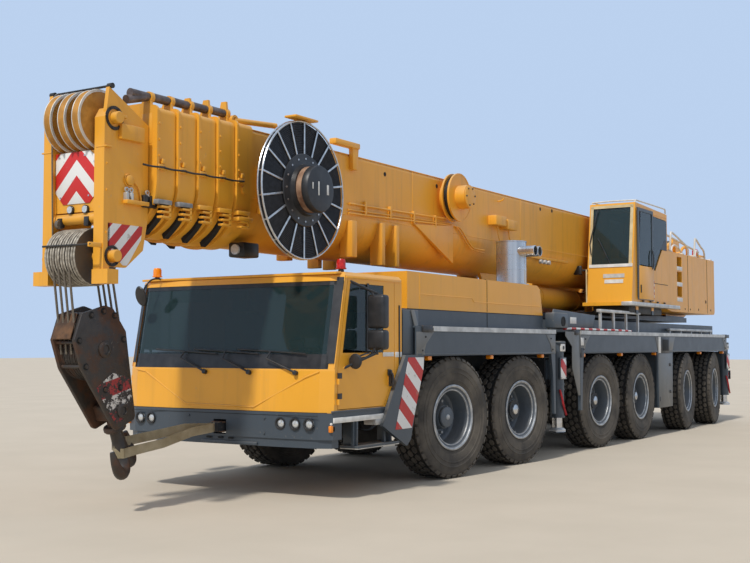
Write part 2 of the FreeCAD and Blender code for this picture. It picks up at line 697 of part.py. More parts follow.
def front_bumper():
    """Grey band across the front with the lamp pockets, side sills and the entry steps under the doors."""
    half, face, corner = CAB_HALF, BUMPER_FACE, BUMPER_BACK - 110
    top = CAB_BOTTOM - SEAT
    right = [
        (BUMPER_BACK, 160 - half), (BUMPER_BACK - 30, 60 - half), (corner, 60 - half), (corner, -half),
        (face - 95, -half), (face - 30, 150 - half), (face, 690 - half),
    ]
    left = [(x, -y) for x, y in right[::-1]]
    pieces = [flat_plate(right + left, (650, top))]
    right = [(corner + 20, 30 - half), (face - 115, 30 - half), (face - 45, 170 - half), (face - 15, 700 - half)]
    pieces.append(flat_plate(right + [(x, -y) for x, y in right[::-1]], (560, 652)))
    for side in (1, -1):
        sill_y = sorted((side * (half - 50), side * half))
        pieces.append(box((DOOR_REAR + 140, corner + 5), sill_y, (845, top)))
        pieces.append(box((DOOR_REAR - 17, 6235), sorted((side * (half - 188), side * BODY_HALF)), (535, 560)))
        for x_low in (DOOR_REAR + 160, 6190):
            hanger_y = sorted((side * (half - 45), side * (half - 20)))
            pieces.append(box((x_low, x_low + 42), hanger_y, (555, 850)))
    bumper = fused(pieces)
    for y in (half - 620, half - 430, half - 250, 420 - half, 250 - half):
        bumper = bumper.cut(bar_x(56, (face - 50, face + 20), y, 812))
    return bumper.cut(box((BUMPER_BACK - 5, face + 20), (-90, 90), (670, 830)))


# Engine hood, engine and silencer
def engine_hood():
    points = [
        (HOOD_REAR - 150, DECK_TOP), (HOOD_FRONT, DECK_TOP), (HOOD_FRONT, HOOD_TOP), (HOOD_REAR + 40, HOOD_TOP - 10),
        (HOOD_REAR - 60, HOOD_TOP - 60),
    ]
    hood = side_plate(points, (-HOOD_HALF, HOOD_HALF))
    room = box(
        (HOOD_REAR + 60, HOOD_FRONT - HOOD_WALL), (HOOD_WALL - HOOD_HALF, HOOD_HALF - HOOD_WALL),
        (DECK_TOP - 5, HOOD_TOP - HOOD_WALL - 10))
    hood = hood.cut(room)
    return hood.cut(bar_z(SILENCER_R + 12, SILENCER_X, SILENCER_Y, (DECK_TOP - 5, HOOD_TOP + 5)))


def engine_block():
    return box((ENGINE_REAR, ENGINE_FRONT), (-ENGINE_HALF, ENGINE_HALF), (FRAME_TOP + SEAT, ENGINE_TOP))


def exhaust_silencer():
    x = SILENCER_X
    can = bar_z(SILENCER_R, x, SILENCER_Y, (RAIL_TOP + SEAT, SILENCER_TOP))
    tails = [
        bar_x(75, (x - 440, x - 100), SILENCER_Y + offset, SILENCER_TOP - 170) for offset in (-85, 85)
    ]
    bores = [
        bar_x(65, (x - 445, x - 270), SILENCER_Y + offset, SILENCER_TOP - 170) for offset in (-85, 85)
    ]
    silencer = fused([can] + tails)
    for bore in bores:
        silencer = silencer.cut(bore)
    return silencer


# Superstructure: slewing plate, cheeks that hold the boom's pivot, side houses and tail
def turntable():
    plate = box((PLATE_REAR, PLATE_FRONT), (-PLATE_HALF, PLATE_HALF), (PLATE_BOTTOM, PLATE_TOP))
    pieces = [plate]
    for side in (1, -1):
        cheek_y = sorted((side * CHEEK_IN, side * (CHEEK_IN + CHEEK_WALL)))
        cheek = side_plate(
            [(PLATE_FRONT - 400, PLATE_TOP - 5), (PLATE_FRONT - 500, 2330), (-5300, 2700), (-6050, 3520),
             (-6900, 3520), (-8250, 3000), (TAIL + 100, 3000), (TAIL, 2800), (TAIL, 2500), (PLATE_REAR, PLATE_TOP - 5)],
            cheek_y)
        pieces.append(cheek)
        # Side house, with three recessed steps in the left one
        front = HOUSE_FRONT if side == 1 else OPCAB_FRONT - 400
        house = side_plate(
            [(front, HOUSE_BOTTOM + 40), (front - 300, HOUSE_BOTTOM), (HOUSE_REAR + 50, HOUSE_BOTTOM),
             (HOUSE_REAR, HOUSE_BOTTOM + 50), (HOUSE_REAR, HOUSE_TOP), (front, HOUSE_TOP)],
            sorted((side * (CHEEK_IN + CHEEK_WALL), side * HOUSE_HALF)))
        if side == 1:
            for step in range(3):
                low = HOUSE_BOTTOM + 300 + step * 290
                house = house.cut(box((-5560, -5260), (HOUSE_HALF - 120, HOUSE_HALF + 5), (low, low + 200)))
        pieces.append(house)
        # Brackets under the house
        for x in (-5000, -7000):
            pieces.append(side_plate(
                [(x - 150, PLATE_TOP - 5), (x + 150, PLATE_TOP - 5), (x + 150, HOUSE_BOTTOM + 5),
                 (x - 150, HOUSE_BOTTOM + 5)], sorted((side * (CHEEK_IN + 10), side * (CHEEK_IN + 120)))))
        # Winch bearing plates at the tail
        bearing = side_plate(
            [(DRUM_X + 420, 2990), (DRUM_X + 200, 4010), (DRUM_X - 200, 4010), (TAIL + 120, 2990)],
            sorted((side * (DRUM_HALF + 30), side * (DRUM_HALF + 80))))
        pieces.append(bearing)
    pieces.append(box((TAIL, PLATE_REAR + 20), (-CHEEK_IN - 20, CHEEK_IN + 20), (2500, 2620)))
    pieces.append(box((TAIL + 130, DRUM_X + 400), (-CHEEK_IN - 20, CHEEK_IN + 20), (2940, 3000)))
    # Walkway that carries the operator's cab
    walk_y = (CHEEK_IN + 10, OPCAB_OUT + 10)
    pieces.append(box((OPCAB_REAR - 40, OPCAB_FRONT + 120), walk_y, (2340, OPCAB_BOTTOM)))
    pieces.append(box((PLATE_FRONT - 1400, PLATE_FRONT - 300), (CHEEK_IN, 900), (PLATE_TOP - 60, 2345)))
    for x in (PLATE_FRONT - 1250, PLATE_FRONT - 400):
        pieces.append(box((x - 60, x + 60), (CHEEK_IN + 5, OPCAB_OUT - 100), (PLATE_TOP - 40, 2345)))
    # Clevis for the luffing cylinder's lower pin
    for side in (1, -1):
        ear = side_plate(
            [(LIFT_LOW_X - 280, PLATE_TOP - 5), (LIFT_LOW_X + 280, PLATE_TOP - 5), (LIFT_LOW_X + 130, 2600),
             (LIFT_LOW_X - 130, 2600)], sorted((side * 215, side * 265)))
        pieces.append(ear)
    body = fused(pieces)
    body = body.cut(bar_y(PIVOT_R + PIN_FIT, PIVOT_X, (-800, 800), PIVOT_Z))
    body = body.cut(bar_y(LIFT_PIN_R + PIN_FIT, LIFT_LOW_X, (-300, 300), LIFT_LOW_Z))
    return body.cut(bar_y(80 + PIN_FIT, DRUM_X, (-DRUM_HALF - 100, DRUM_HALF + 100), DRUM_Z))


def hoist_drum():
    profile = [
        (DRUM_R, -DRUM_HALF), (DRUM_R, 30 - DRUM_HALF), (DRUM_CORE_R + 40, 34 - DRUM_HALF),
        (DRUM_CORE_R + 40, DRUM_HALF - 34), (DRUM_R, DRUM_HALF - 30), (DRUM_R, DRUM_HALF), (60, DRUM_HALF), (60, -DRUM_HALF),
    ]
    barrel = many_sided_ring(profile, 28, DRUM_X, 0, DRUM_Z)
    shaft = bar_y(80, DRUM_X, (-DRUM_HALF - 100, DRUM_HALF + 100), DRUM_Z)
    return fused([barrel, shaft])


# Crane operator's cab: hollow, with cut windows and a sliding door outside its wall
def opcab_outline(inset):
    return [
        (OPCAB_REAR + inset, OPCAB_BOTTOM + inset), (OPCAB_FRONT + 90 - inset, OPCAB_BOTTOM + inset),
        (OPCAB_FRONT - inset, OPCAB_SILL), (OPCAB_FRONT - OPCAB_LEAN - inset, OPCAB_TOP - inset),
        (OPCAB_REAR + inset, OPCAB_TOP - 60 - inset),
    ]


def crane_cab():
    shell = side_plate(opcab_outline(0), (OPCAB_IN, OPCAB_OUT))
    room = side_plate(opcab_outline(OPCAB_WALL), (OPCAB_IN + OPCAB_WALL, OPCAB_OUT - OPCAB_WALL))
    cab = shell.cut(room)
    screen_y = (OPCAB_IN + 60, OPCAB_OUT - 60)
    cab = cab.cut(box(
        (OPCAB_FRONT - OPCAB_LEAN - 90, OPCAB_FRONT + 10), screen_y, (OPCAB_SILL + 20, OPCAB_TOP - 80)))
    door_front = OPCAB_FRONT - OPCAB_LEAN - 60
    door_hole = box(
        (OPDOOR_SPLIT, door_front), (OPCAB_OUT - OPCAB_WALL - 5, OPCAB_OUT + 5), (OPCAB_BOTTOM + 70, OPCAB_TOP - 110))
    cab = cab.cut(door_hole).cut(side_plate(rear_window_outline(0), (OPCAB_IN - 5, OPCAB_OUT + 5)))
    roof_window = box(
        ROOF_WINDOW, (OPCAB_IN + 120, OPCAB_OUT - 120), (OPCAB_TOP - 150, OPCAB_TOP + 5))
    cab = cab.cut(roof_window)
    # Rails that the sliding door runs on, and the light guard rails on the roof
    rail_y = (OPCAB_OUT - 5, OPCAB_OUT + OPDOOR_GAP - SEAT)
    levels = (OPCAB_BOTTOM + 55, OPCAB_TOP - 135)
    rails = [box((OPCAB_REAR + 30, door_front + 5), rail_y, (z, z + 30)) for z in levels]
    return fused([cab] + rails)


def rear_window_outline(inset):
    """Slanted window behind the door, as (x, z) points."""
    return [
        (OPDOOR_SPLIT - 60 - inset, OPCAB_SILL + inset), (OPDOOR_SPLIT - 60 - inset, OPCAB_TOP - 160 - inset),
        (OPCAB_REAR + 90 + inset, OPCAB_TOP - 180 - inset),
        (OPCAB_REAR + 90 + inset, OPCAB_SILL + 0.54 * (OPCAB_TOP - OPCAB_SILL)),
        (OPDOOR_SPLIT - 240, OPCAB_SILL + inset),
    ]


def crane_cab_glass():
    lean = OPCAB_LEAN / (OPCAB_TOP - OPCAB_SILL)
    low, high = OPCAB_SILL + 20 + SEAT, OPCAB_TOP - 80 - SEAT
    front = [OPCAB_FRONT - 12 - lean * (z - OPCAB_SILL) for z in (low, high)]
    screen = side_plate(
        [(front[0], low), (front[1], high), (front[1] - 8, high), (front[0] - 8, low)],
        (OPCAB_IN + 60 + SEAT, OPCAB_OUT - 60 - SEAT))
    panes = [screen]
    for middle in (OPCAB_OUT - 20, OPCAB_IN + 20):
        panes.append(side_plate(rear_window_outline(SEAT), (middle - 4, middle + 4)))
    # Roof window, which follows the roof's fall towards the rear
    roof_front = OPCAB_FRONT - OPCAB_LEAN
    fall = 60 / (roof_front - OPCAB_REAR)
    rear, front_edge = ROOF_WINDOW[0] + SEAT, ROOF_WINDOW[1] - SEAT
    roof = [OPCAB_TOP - 24 - fall * (roof_front - x) for x in (rear, front_edge)]
    panes.append(side_plate(
        [(rear, roof[0]), (front_edge, roof[1]), (front_edge, roof[1] + 8), (rear, roof[0] + 8)],
        (OPCAB_IN + 120 + SEAT, OPCAB_OUT - 120 - SEAT)))
    return panes


def crane_cab_door():
    y = (OPCAB_OUT + OPDOOR_GAP, OPCAB_OUT + OPDOOR_GAP + OPDOOR_THICK)
    front, rear = OPCAB_FRONT - OPCAB_LEAN - 40, OPDOOR_SPLIT - 30
    low, high = OPCAB_BOTTOM + 50, OPCAB_TOP - 90
    panel = box((rear, front), y, (low, high))
    window = box((rear + 60, front - 60), (y[0] - 5, y[1] + 5), (OPCAB_SILL, high - 60))
    return panel.cut(window)


def crane_cab_seat():
    y = (OPCAB_IN + OPCAB_OUT) / 2
    floor = OPCAB_BOTTOM + OPCAB_WALL
    rear = OPCAB_REAR + 540
    head = floor + 0.65 * (OPCAB_TOP - floor)
    seat = side_plate(
        [(rear, floor), (rear + 350, floor), (rear + 400, floor + 360), (rear + 520, floor + 390),
         (rear + 520, floor + 490), (rear + 50, floor + 460), (rear - 120, head), (rear - 220, head - 20),
         (rear - 60, floor + 360)], (y - 230, y + 230))
    consoles = [
        box((rear + 100, rear + 480), (y + offset - 40, y + offset + 40), (floor + 460, floor + 600))
        for offset in (-250, 250)
    ]
    return fused([seat] + consoles)


# Boom sections: straight sides, round underside, one collar at each front end
def section_half(number):
    return BOOM_HALF - SECTION_STEP * number


def section_face(half, top, x, corner):
    """Face across the boom: flat top, small top corners, half-round underside."""
    left, right = half, -half
    low = BOOM_ROUND_Z
    cut = corner * (1 - math.sqrt(0.5))
    edges = [
        Part.LineSegment(Vec(x, right + corner, top), Vec(x, left - corner, top)),
        Part.Arc(Vec(x, left - corner, top), Vec(x, left - cut, top - cut), Vec(x, left, top - corner)),
        Part.LineSegment(Vec(x, left, top - corner), Vec(x, left, low)),
        Part.Arc(Vec(x, left, low), Vec(x, 0, low - half), Vec(x, right, low)),
        Part.LineSegment(Vec(x, right, low), Vec(x, right, top - corner)),
        Part.Arc(Vec(x, right, top - corner), Vec(x, right + cut, top - cut), Vec(x, right + corner, top)),
    ]
    return Part.Face(Part.Wire([edge.toShape() for edge in edges]))


def section_body(half, top, x, corner=BOOM_CORNER):
    return section_face(half, top, x[0], corner).extrude(Vec(x[1] - x[0], 0, 0))


def section_top(number):
    return BOOM_TOP - SECTION_STEP * number


def boom_tube(number, x):
    half, top = section_half(number), section_top(number)
    outer = section_body(half, top, x)
    inner = section_body(half - BOOM_WALL, top - BOOM_WALL, (x[0] - 5, x[1] + 5), BOOM_CORNER - BOOM_WALL)
    return outer.cut(inner)


def collar(number):
    """Band and upright plate at the front end of a section."""
    front = BASE_FRONT + COLLAR_PITCH * number
    back = front - COLLAR_PITCH + COLLAR_GAP
    half = BOOM_HALF + COLLAR_PROUD - 14 * number
    top = BOOM_TOP + COLLAR_PROUD - 10 * number
    inner_half, inner_top = section_half(number) - BOOM_WALL, section_top(number) - BOOM_WALL
    band = section_body(half - 16, top - 16, (back, front))
    plate = section_body(half, top, (front - COLLAR_PLATE, front))
    peak = top + COLLAR_HORN - HORN_STEP * number
    horn = cross_plate(
        [(-430, top - 60), (430, top - 60), (400, peak), (335, peak), (290, top + 30),
         (-290, top + 30), (-335, peak), (-400, peak)], (front - COLLAR_PLATE, front))
    hollow = section_body(inner_half, inner_top, (back - 5, front + 5), BOOM_CORNER - BOOM_WALL)
    return fused([band, plate, horn]).cut(hollow)


def slide_pads(number):
    """Wear pads inside a section's collar, which the next section slides on."""
    front = BASE_FRONT + COLLAR_PITCH * number
    x = (front - 140, front - 20)
    reach = BOOM_WALL - 2
    outer = section_body(
        section_half(number) - reach, section_top(number) - reach, x, BOOM_CORNER - BOOM_WALL)
    sliding = section_body(
        section_half(number + 1) + SEAT, section_top(number + 1) + SEAT, (x[0] - 5, x[1] + 5))
    ring = outer.cut(sliding)
    # y range, z range of the pads under, beside and above the sliding section
    places = [
        ((-240, 240), (2600, BOOM_ROUND_Z)), ((240, 600), (3300, 3480)), ((-600, -240), (3300, 3480)),
        ((100, 260), (3700, 4100)), ((-260, -100), (3700, 4100)),
    ]
    return [ring.common(box(x, y, z)) for y, z in places]


def boom_base():
    tube = boom_tube(0, (BASE_REAR, BASE_FRONT))
    pieces = [tube, collar(0)]
    pivot = bar_y(PIVOT_R, PIVOT_X, (-CHEEK_IN - CHEEK_WALL - 20, CHEEK_IN + CHEEK_WALL + 20), PIVOT_Z)
    boss = bar_y(240, PIVOT_X, (-BOOM_HALF - 30, BOOM_HALF + 30), PIVOT_Z)
    # Luffing cylinder's lugs under the boom
    for side in (1, -1):
        pieces.append(side_plate(
            [(LIFT_HIGH_X - 420, 2900), (LIFT_HIGH_X + 420, 2900), (LIFT_HIGH_X + 110, LIFT_HIGH_Z - 110),
             (LIFT_HIGH_X - 110, LIFT_HIGH_Z - 110)], sorted((side * (LIFT_LUG - 50), side * LIFT_LUG))))
        # Boss and pin head at the cylinder's upper eye
        pieces.append(bar_y(
            115, LIFT_HIGH_X, sorted((side * (LIFT_EYE_HALF + SEAT), side * (LIFT_LUG - 40))), LIFT_HIGH_Z))
        pin_y = sorted((side * (LIFT_LUG - 10), side * (LIFT_LUG + 25)))
        pieces.append(bar_y(LIFT_PIN_R, LIFT_HIGH_X, pin_y, LIFT_HIGH_Z))
    # Mounts of the cable reel and the small reel
    pieces.append(bar_y(120, REEL_X, (BOOM_HALF - 10, REEL_IN - REEL_WIDE / 2 - SEAT), REEL_Z))
    plate_x, plate_z = (REEL_X - 260, REEL_X + 260), (REEL_Z - 260, REEL_Z + 260)
    pieces.append(box(plate_x, (BOOM_HALF - 10, BOOM_HALF + 60), plate_z))
    small = [
        bar_y(SMALL_REEL_R, SMALL_REEL_X, (BOOM_HALF + 90, BOOM_HALF + 110), SMALL_REEL_Z),
        bar_y(SMALL_REEL_R, SMALL_REEL_X, (BOOM_HALF + 190, BOOM_HALF + 210), SMALL_REEL_Z),
        bar_y(SMALL_REEL_R - 110, SMALL_REEL_X, (BOOM_HALF - 10, BOOM_HALF + 200), SMALL_REEL_Z),
        bar_y(SMALL_REEL_R / 2, SMALL_REEL_X, (BOOM_HALF + 205, BOOM_HALF + 360), SMALL_REEL_Z),
    ]
    body = fused(pieces + [boss, pivot] + small)
    hollow = section_body(BOOM_HALF - BOOM_WALL, BOOM_TOP - BOOM_WALL, (BASE_REAR + 1100, BASE_FRONT + 5),
                          BOOM_CORNER - BOOM_WALL)
    return fused([body.cut(hollow)] + slide_pads(0))


def boom_section(number):
    rear = BASE_REAR + 1150 + SECTION_REAR_STEP * (number - 1)
    front = BASE_FRONT + COLLAR_PITCH * number
    tube = boom_tube(number, (rear, front))
    return fused([tube, collar(number)] + slide_pads(number))


def sheave(x, z, radius, y, width):
    profile = [
        (radius, y - width / 2), (radius, y - width / 2 + 7), (radius - SHEAVE_GROOVE, y - ROPE_R - 2),
        (radius - SHEAVE_GROOVE, y + ROPE_R + 2), (radius, y + width / 2 - 7), (radius, y + width / 2),
        (HEAD_PIN_R + SEAT, y + width / 2), (HEAD_PIN_R + SEAT, y - width / 2)]
    outline = [Vec(x + reach, offset, z) for reach, offset in profile]
    face = Part.Face(Part.makePolygon(outline + outline[:1]))
    return face.revolve(Vec(x, 0, z), Vec(0, 1, 0), 360)


def boom_head():
    tube_rear = BASE_REAR + 1150 + SECTION_REAR_STEP * (SECTIONS - 1)
    pieces = [boom_tube(SECTIONS, (tube_rear, HEAD_REAR + 60))]
    outline = [
        (HEAD_REAR, 3790), (HEAD_REAR, 2870), (HEAD_REAR + 60, 2560), (HEAD_REAR + 290, 2380),
        (HEAD_FRONT - 30, 2380), (HEAD_FRONT - 30, 3860), (HEAD_FRONT - 60, 4080),
    ]
    # Front posts with a chamfered top, on wide feet
    post = [
        (HEAD_FRONT - 80, 2345), (HEAD_FRONT, 2345), (HEAD_FRONT, 3790), (HEAD_FRONT - 55, 3880),
        (HEAD_FRONT - 80, 3880),
    ]
    for side in (1, -1):
        pieces.append(side_plate(outline, sorted((side * (HEAD_HALF - HEAD_PLATE), side * HEAD_HALF))))
        pieces.append(side_plate(post, sorted((side * (HEAD_HALF - POST_WIDE + 5), side * (HEAD_HALF + 5)))))
        foot_y = sorted((side * (HEAD_HALF - POST_WIDE + 20), side * (HEAD_HALF + 95)))
        pieces.append(box((HEAD_FRONT - 110, HEAD_FRONT + 30), foot_y, (HEAD_LOW, HEAD_LOW + 135)))
    # Back wall, front plate that carries the warning chevrons, and cross tubes
    pieces.append(box((HEAD_REAR, HEAD_REAR + 60), (-HEAD_HALF, HEAD_HALF), (2900, 3640)))
    pieces.append(box((HEAD_FRONT - 75, HEAD_FRONT - 40), (5 - HEAD_HALF, HEAD_HALF - 5), (2910, 3490)))
    pieces.append(bar_y(52, HEAD_FRONT - 70, (5 - HEAD_HALF, HEAD_HALF - 5), 2845))
    for x, z in ((TOP_SHEAVE_X, TOP_SHEAVE_Z), (LOW_SHEAVE_X, LOW_SHEAVE_Z)):
        pieces.append(bar_y(HEAD_PIN_R, x, (-HEAD_HALF - 40, HEAD_HALF + 40), z))
    return fused(pieces)


def head_sheaves():
    solids = [sheave(TOP_SHEAVE_X, TOP_SHEAVE_Z, TOP_SHEAVE_R, y, 90) for y in (-190, 0, 190)]
    return solids + [sheave(LOW_SHEAVE_X, LOW_SHEAVE_Z, LOW_SHEAVE_R, y, 60) for y in LOW_SHEAVES_Y]


# Cable reel: dished spool with spokes, turning on a shaft at the boom's side
def cable_reel():
    low, high = REEL_IN - REEL_WIDE / 2, REEL_IN + REEL_WIDE / 2
    drum = many_sided_ring(
        [(REEL_R - 25, low), (REEL_R - 25, high), (REEL_HUB_R, high), (REEL_HUB_R, low)], 36, REEL_X, 0, REEL_Z)
    rims = []
    for y in (low, high):
        profile = [(REEL_R, y - 12), (REEL_R, y + 12), (REEL_R - 30, y + 12), (REEL_R - 30, y - 12)]
        rims.append(many_sided_ring(profile, 36, REEL_X, 0, REEL_Z))
    hub = bar_y(REEL_HUB_R + 10, REEL_X, (low, REEL_HUB_OUT), REEL_Z)
    flange = bar_y(REEL_FLANGE_R, REEL_X, (high - 5, high + 15), REEL_Z)
    spokes = []
    for number in range(18):
        reach = (REEL_X + REEL_FLANGE_R - 30, REEL_X + REEL_R - 20)
        spoke = box(reach, (high - 5, high + 12), (REEL_Z - 11, REEL_Z + 11))
        spoke.rotate(Vec(REEL_X, 0, REEL_Z), Vec(0, 1, 0), 20 * number)
        spokes.append(spoke)
    return fused([drum, hub, flange] + rims + spokes)


# Hook block hanging on its rope falls
def tilted(shape):
    turned = shape.copy()
    turned.rotate(Vec(BLOCK_PIN_X, 0, BLOCK_PIN_Z), Vec(0, 1, 0), -BLOCK_TILT)
    return turned


def rope_fall(y, front):
    """Straight fall that leaves both sheaves as a tangent, ahead of them for 1 and behind for -1."""
    head = Vec(LOW_SHEAVE_X, y, LOW_SHEAVE_Z)
    block = Vec(BLOCK_PIN_X, y, BLOCK_PIN_Z)
    line = block - head
    along = Vec(line).normalize()
    across = along.cross(Vec(0, front, 0))
    head_reach = LOW_SHEAVE_R - SHEAVE_GROOVE + ROPE_R + SEAT
    block_reach = BLOCK_SHEAVE_R - 4
    lean = (head_reach - block_reach) / line.Length
    normal = along * lean + across * math.sqrt(1 - lean * lean)
    return bar(ROPE_R, head + normal * head_reach, block + normal * block_reach)


def hook_block():
    x, z = BLOCK_PIN_X, BLOCK_PIN_Z
    outline = [
        (x - 330, z + 60), (x - 250, z + 330), (x + 150, z + 420), (x + 320, z + 230), (x + 330, z - 60),
        (x + 130, z - 780), (x - 130, z - 780),
    ]
    pieces = [
        side_plate(outline, sorted((side * (BLOCK_HALF - BLOCK_PLATE), side * BLOCK_HALF))) for side in (1, -1)
    ]
    pieces += [bar_y(75, x, (-BLOCK_HALF - 25, BLOCK_HALF + 25), level) for level in (z, z - 640)]
    sheaves = many_sided_ring(
        [(BLOCK_SHEAVE_R, -118), (BLOCK_SHEAVE_R, 118), (70, 118), (70, -118)], SHEAVE_SIDES, x, 0, z)
    # Forged hook: shank through the crosshead, bowl with an open mouth at the rear
    bowl_z = z - HOOK_DROP
    bowl = bar_y(HOOK_OUT_R, x, (-HOOK_HALF, HOOK_HALF), bowl_z)
    bowl = bowl.cut(bar_y(HOOK_IN_R, x - 12, (-HOOK_HALF - 5, HOOK_HALF + 5), bowl_z + 10))
    mouth = side_plate(
        [(x - 62, bowl_z + 20), (x - 62, bowl_z + 260), (x - 300, bowl_z + 260), (x - 300, bowl_z + 60)],
        (-HOOK_HALF - 5, HOOK_HALF + 5))
    shank = bar_z(62, x, 0, (bowl_z + HOOK_OUT_R - 45, z - 640))
    solid = tilted(fused(pieces + [sheaves, shank, bowl.cut(mouth)]))
    falls = [rope_fall(y, front) for y in ROPES_Y for front in (1, -1)]
    return [fused([solid] + falls)]


# Luffing cylinder: barrel on the superstructure, rod towards the boom
def lift_direction():
    return (Vec(LIFT_HIGH_X, 0, LIFT_HIGH_Z) - Vec(LIFT_LOW_X, 0, LIFT_LOW_Z)).normalize()


def lift_cylinder():
    low = Vec(LIFT_LOW_X, 0, LIFT_LOW_Z)
    along = lift_direction()
    barrel = bar(LIFT_R, low + along * 150, low + along * LIFT_BARREL)
    bore = bar(LIFT_ROD_R + PIN_FIT, low + along * LIFT_BORE_START, low + along * (LIFT_BARREL + 5))
    eye = bar_y(170, LIFT_LOW_X, (-200, 200), LIFT_LOW_Z)
    pin = bar_y(LIFT_PIN_R, LIFT_LOW_X, (-275, 275), LIFT_LOW_Z)
    return fused([barrel.cut(bore), eye, pin])


def lift_rod():
    low = Vec(LIFT_LOW_X, 0, LIFT_LOW_Z)
    high = Vec(LIFT_HIGH_X, 0, LIFT_HIGH_Z)
    along = lift_direction()
    rod = bar(LIFT_ROD_R, low + along * LIFT_ROD_START, high - along * 60)
    eye = bar_y(140, LIFT_HIGH_X, (-LIFT_EYE_HALF, LIFT_EYE_HALF), LIFT_HIGH_Z)
    return fused([rod, eye])


# Writing every node
SIDES = (("left", 1), ("right", -1))
for axle, (axle_x, steer_share) in enumerate(AXLES, start=1):
    for side_name, side in SIDES:
        solids = [tyre(axle_x, side), rim(axle_x, side)]
        write("wheel_%d_%s" % (axle, side_name), [turned_about_kingpin(s, axle_x, side, steer_share) for s in solids])
        if steer_share:
            carrier = turned_about_kingpin(knuckle(axle_x, side), axle_x, side, steer_share)
            write("knuckle_%d_%s" % (axle, side_name), [carrier])

for place, beam_x, side, low_z in OUTRIGGERS:
    write("outrigger_%s" % place, [outrigger_beam(beam_x, side, low_z)])
    write("jack_%s" % place, [outrigger_jack(beam_x, side)])

write("chassis_frame", [chassis_frame()])
write("axle_beams", [axle_beam(axle_x, share) for axle_x, share in AXLES])
write("carrier_deck", [carrier_deck()])
write("deck_rails", deck_rails())
write("driver_cab", driver_cab())
write("driver_cab_glass", driver_cab_glass())
write("driver_cab_interior", driver_cab_interior())
write("cab_door_left", [cab_door(1)])
write("cab_door_right", [cab_door(-1)])
write("front_bumper", [front_bumper()])
write("engine_hood", [engine_hood()])
write("engine_block", [engine_block()])
write("exhaust_silencer", [exhaust_silencer()])
write("turntable", [turntable()])
write("hoist_drum", [hoist_drum()])
write("crane_cab", [crane_cab()])
write("crane_cab_glass", crane_cab_glass())
write("crane_cab_door", [crane_cab_door()])
write("crane_cab_seat", [crane_cab_seat()])
write("lift_cylinder", [lift_cylinder()])
write("lift_rod", [lift_rod()])
write("boom_base", [boom_base()])
for number in range(1, SECTIONS):
    write("boom_section_%d" % number, [boom_section(number)])
write("boom_head", [boom_head()])
write("head_sheaves", head_sheaves())
write("cable_reel", [cable_reel()])
write("hook_block", hook_block())
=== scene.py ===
# Looks of a six-axle mobile crane on its road carrier, with the boom laid forward for travel.
import math

import bmesh
import bpy
from mathutils import Matrix, Vector


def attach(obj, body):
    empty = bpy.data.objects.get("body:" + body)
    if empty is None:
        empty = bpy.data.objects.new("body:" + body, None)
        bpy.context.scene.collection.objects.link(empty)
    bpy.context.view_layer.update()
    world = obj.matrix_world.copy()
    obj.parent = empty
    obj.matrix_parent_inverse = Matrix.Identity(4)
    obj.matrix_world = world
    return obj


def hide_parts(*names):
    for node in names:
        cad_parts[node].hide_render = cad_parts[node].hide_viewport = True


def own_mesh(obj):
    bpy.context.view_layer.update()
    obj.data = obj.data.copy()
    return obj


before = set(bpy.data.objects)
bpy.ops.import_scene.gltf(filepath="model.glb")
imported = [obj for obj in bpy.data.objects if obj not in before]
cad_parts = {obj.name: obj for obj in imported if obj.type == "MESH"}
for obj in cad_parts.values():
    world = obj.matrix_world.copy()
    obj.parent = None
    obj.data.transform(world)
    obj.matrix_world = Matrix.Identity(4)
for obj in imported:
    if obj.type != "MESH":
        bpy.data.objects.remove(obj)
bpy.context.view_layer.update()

# Camera and studio.
# The photograph was taken at eye height, ahead of the crane on its left side.
# A broad lamp stands in for the sun, and the world fills the shadows.
EYE = (16.42, 8.122, 1.632)
HEADING = math.radians(32.18)
CLIMB = math.radians(3.28)
ROLL = math.radians(-0.06)
FOCAL_PIXELS = 1127.5
PICTURE_WIDTH = 750

lens = bpy.data.cameras.new("viewpoint")
lens.sensor_width = 36.0
lens.lens = FOCAL_PIXELS * lens.sensor_width / PICTURE_WIDTH
lens.clip_end = 500.0
viewpoint = bpy.data.objects.new("viewpoint", lens)
bpy.context.collection.objects.link(viewpoint)
sight = Vector((-math.cos(HEADING) * math.cos(CLIMB), -math.sin(HEADING) * math.cos(CLIMB), math.sin(CLIMB)))
aim = sight.to_track_quat("-Z", "Y").to_matrix().to_4x4() @ Matrix.Rotation(ROLL, 4, "Z")
viewpoint.matrix_world = Matrix.Translation(EYE) @ aim
bpy.context.scene.camera = viewpoint
bpy.context.scene.view_settings.view_transform = "Standard"

sun = bpy.data.lights.new("sun", "SUN")
sun.energy = 2.7
sun.angle = math.radians(4.0)
sun.color = (1.0, 0.96, 0.90)
sun_lamp = bpy.data.objects.new("sun", sun)
sun_lamp.rotation_euler = Vector((-0.62, -0.04, -0.78)).to_track_quat("-Z", "Y").to_euler()
bpy.context.collection.objects.link(sun_lamp)


class Link:
    """One socket of a material, so that shader maths reads as a Python expression."""

    def __init__(self, finish, socket):
        self.finish = finish
        self.socket = socket

    def maths(self, operation, *values):
        return self.finish.add("ShaderNodeMath", {"operation": operation}, *values)

    def __add__(self, other):
        return self.maths("ADD", self, other)

    def __sub__(self, other):
        return self.maths("SUBTRACT", self, other)

    def __rsub__(self, other):
        return self.maths("SUBTRACT", other, self)

    def __mul__(self, other):
        return self.maths("MULTIPLY", self, other)

    def __truediv__(self, other):
        return self.maths("DIVIDE", self, other)

    def __mod__(self, other):
        return self.maths("FLOORED_MODULO", self, other)

    def __gt__(self, other):
        return self.maths("GREATER_THAN", self, other)

    def __abs__(self):
        return self.maths("ABSOLUTE", self)

    def held(self):
        """Kept between 0 and 1."""
        return self.maths("MINIMUM", self.maths("MAXIMUM", self, 0.0), 1.0)

    __radd__ = __add__
    __rmul__ = __mul__


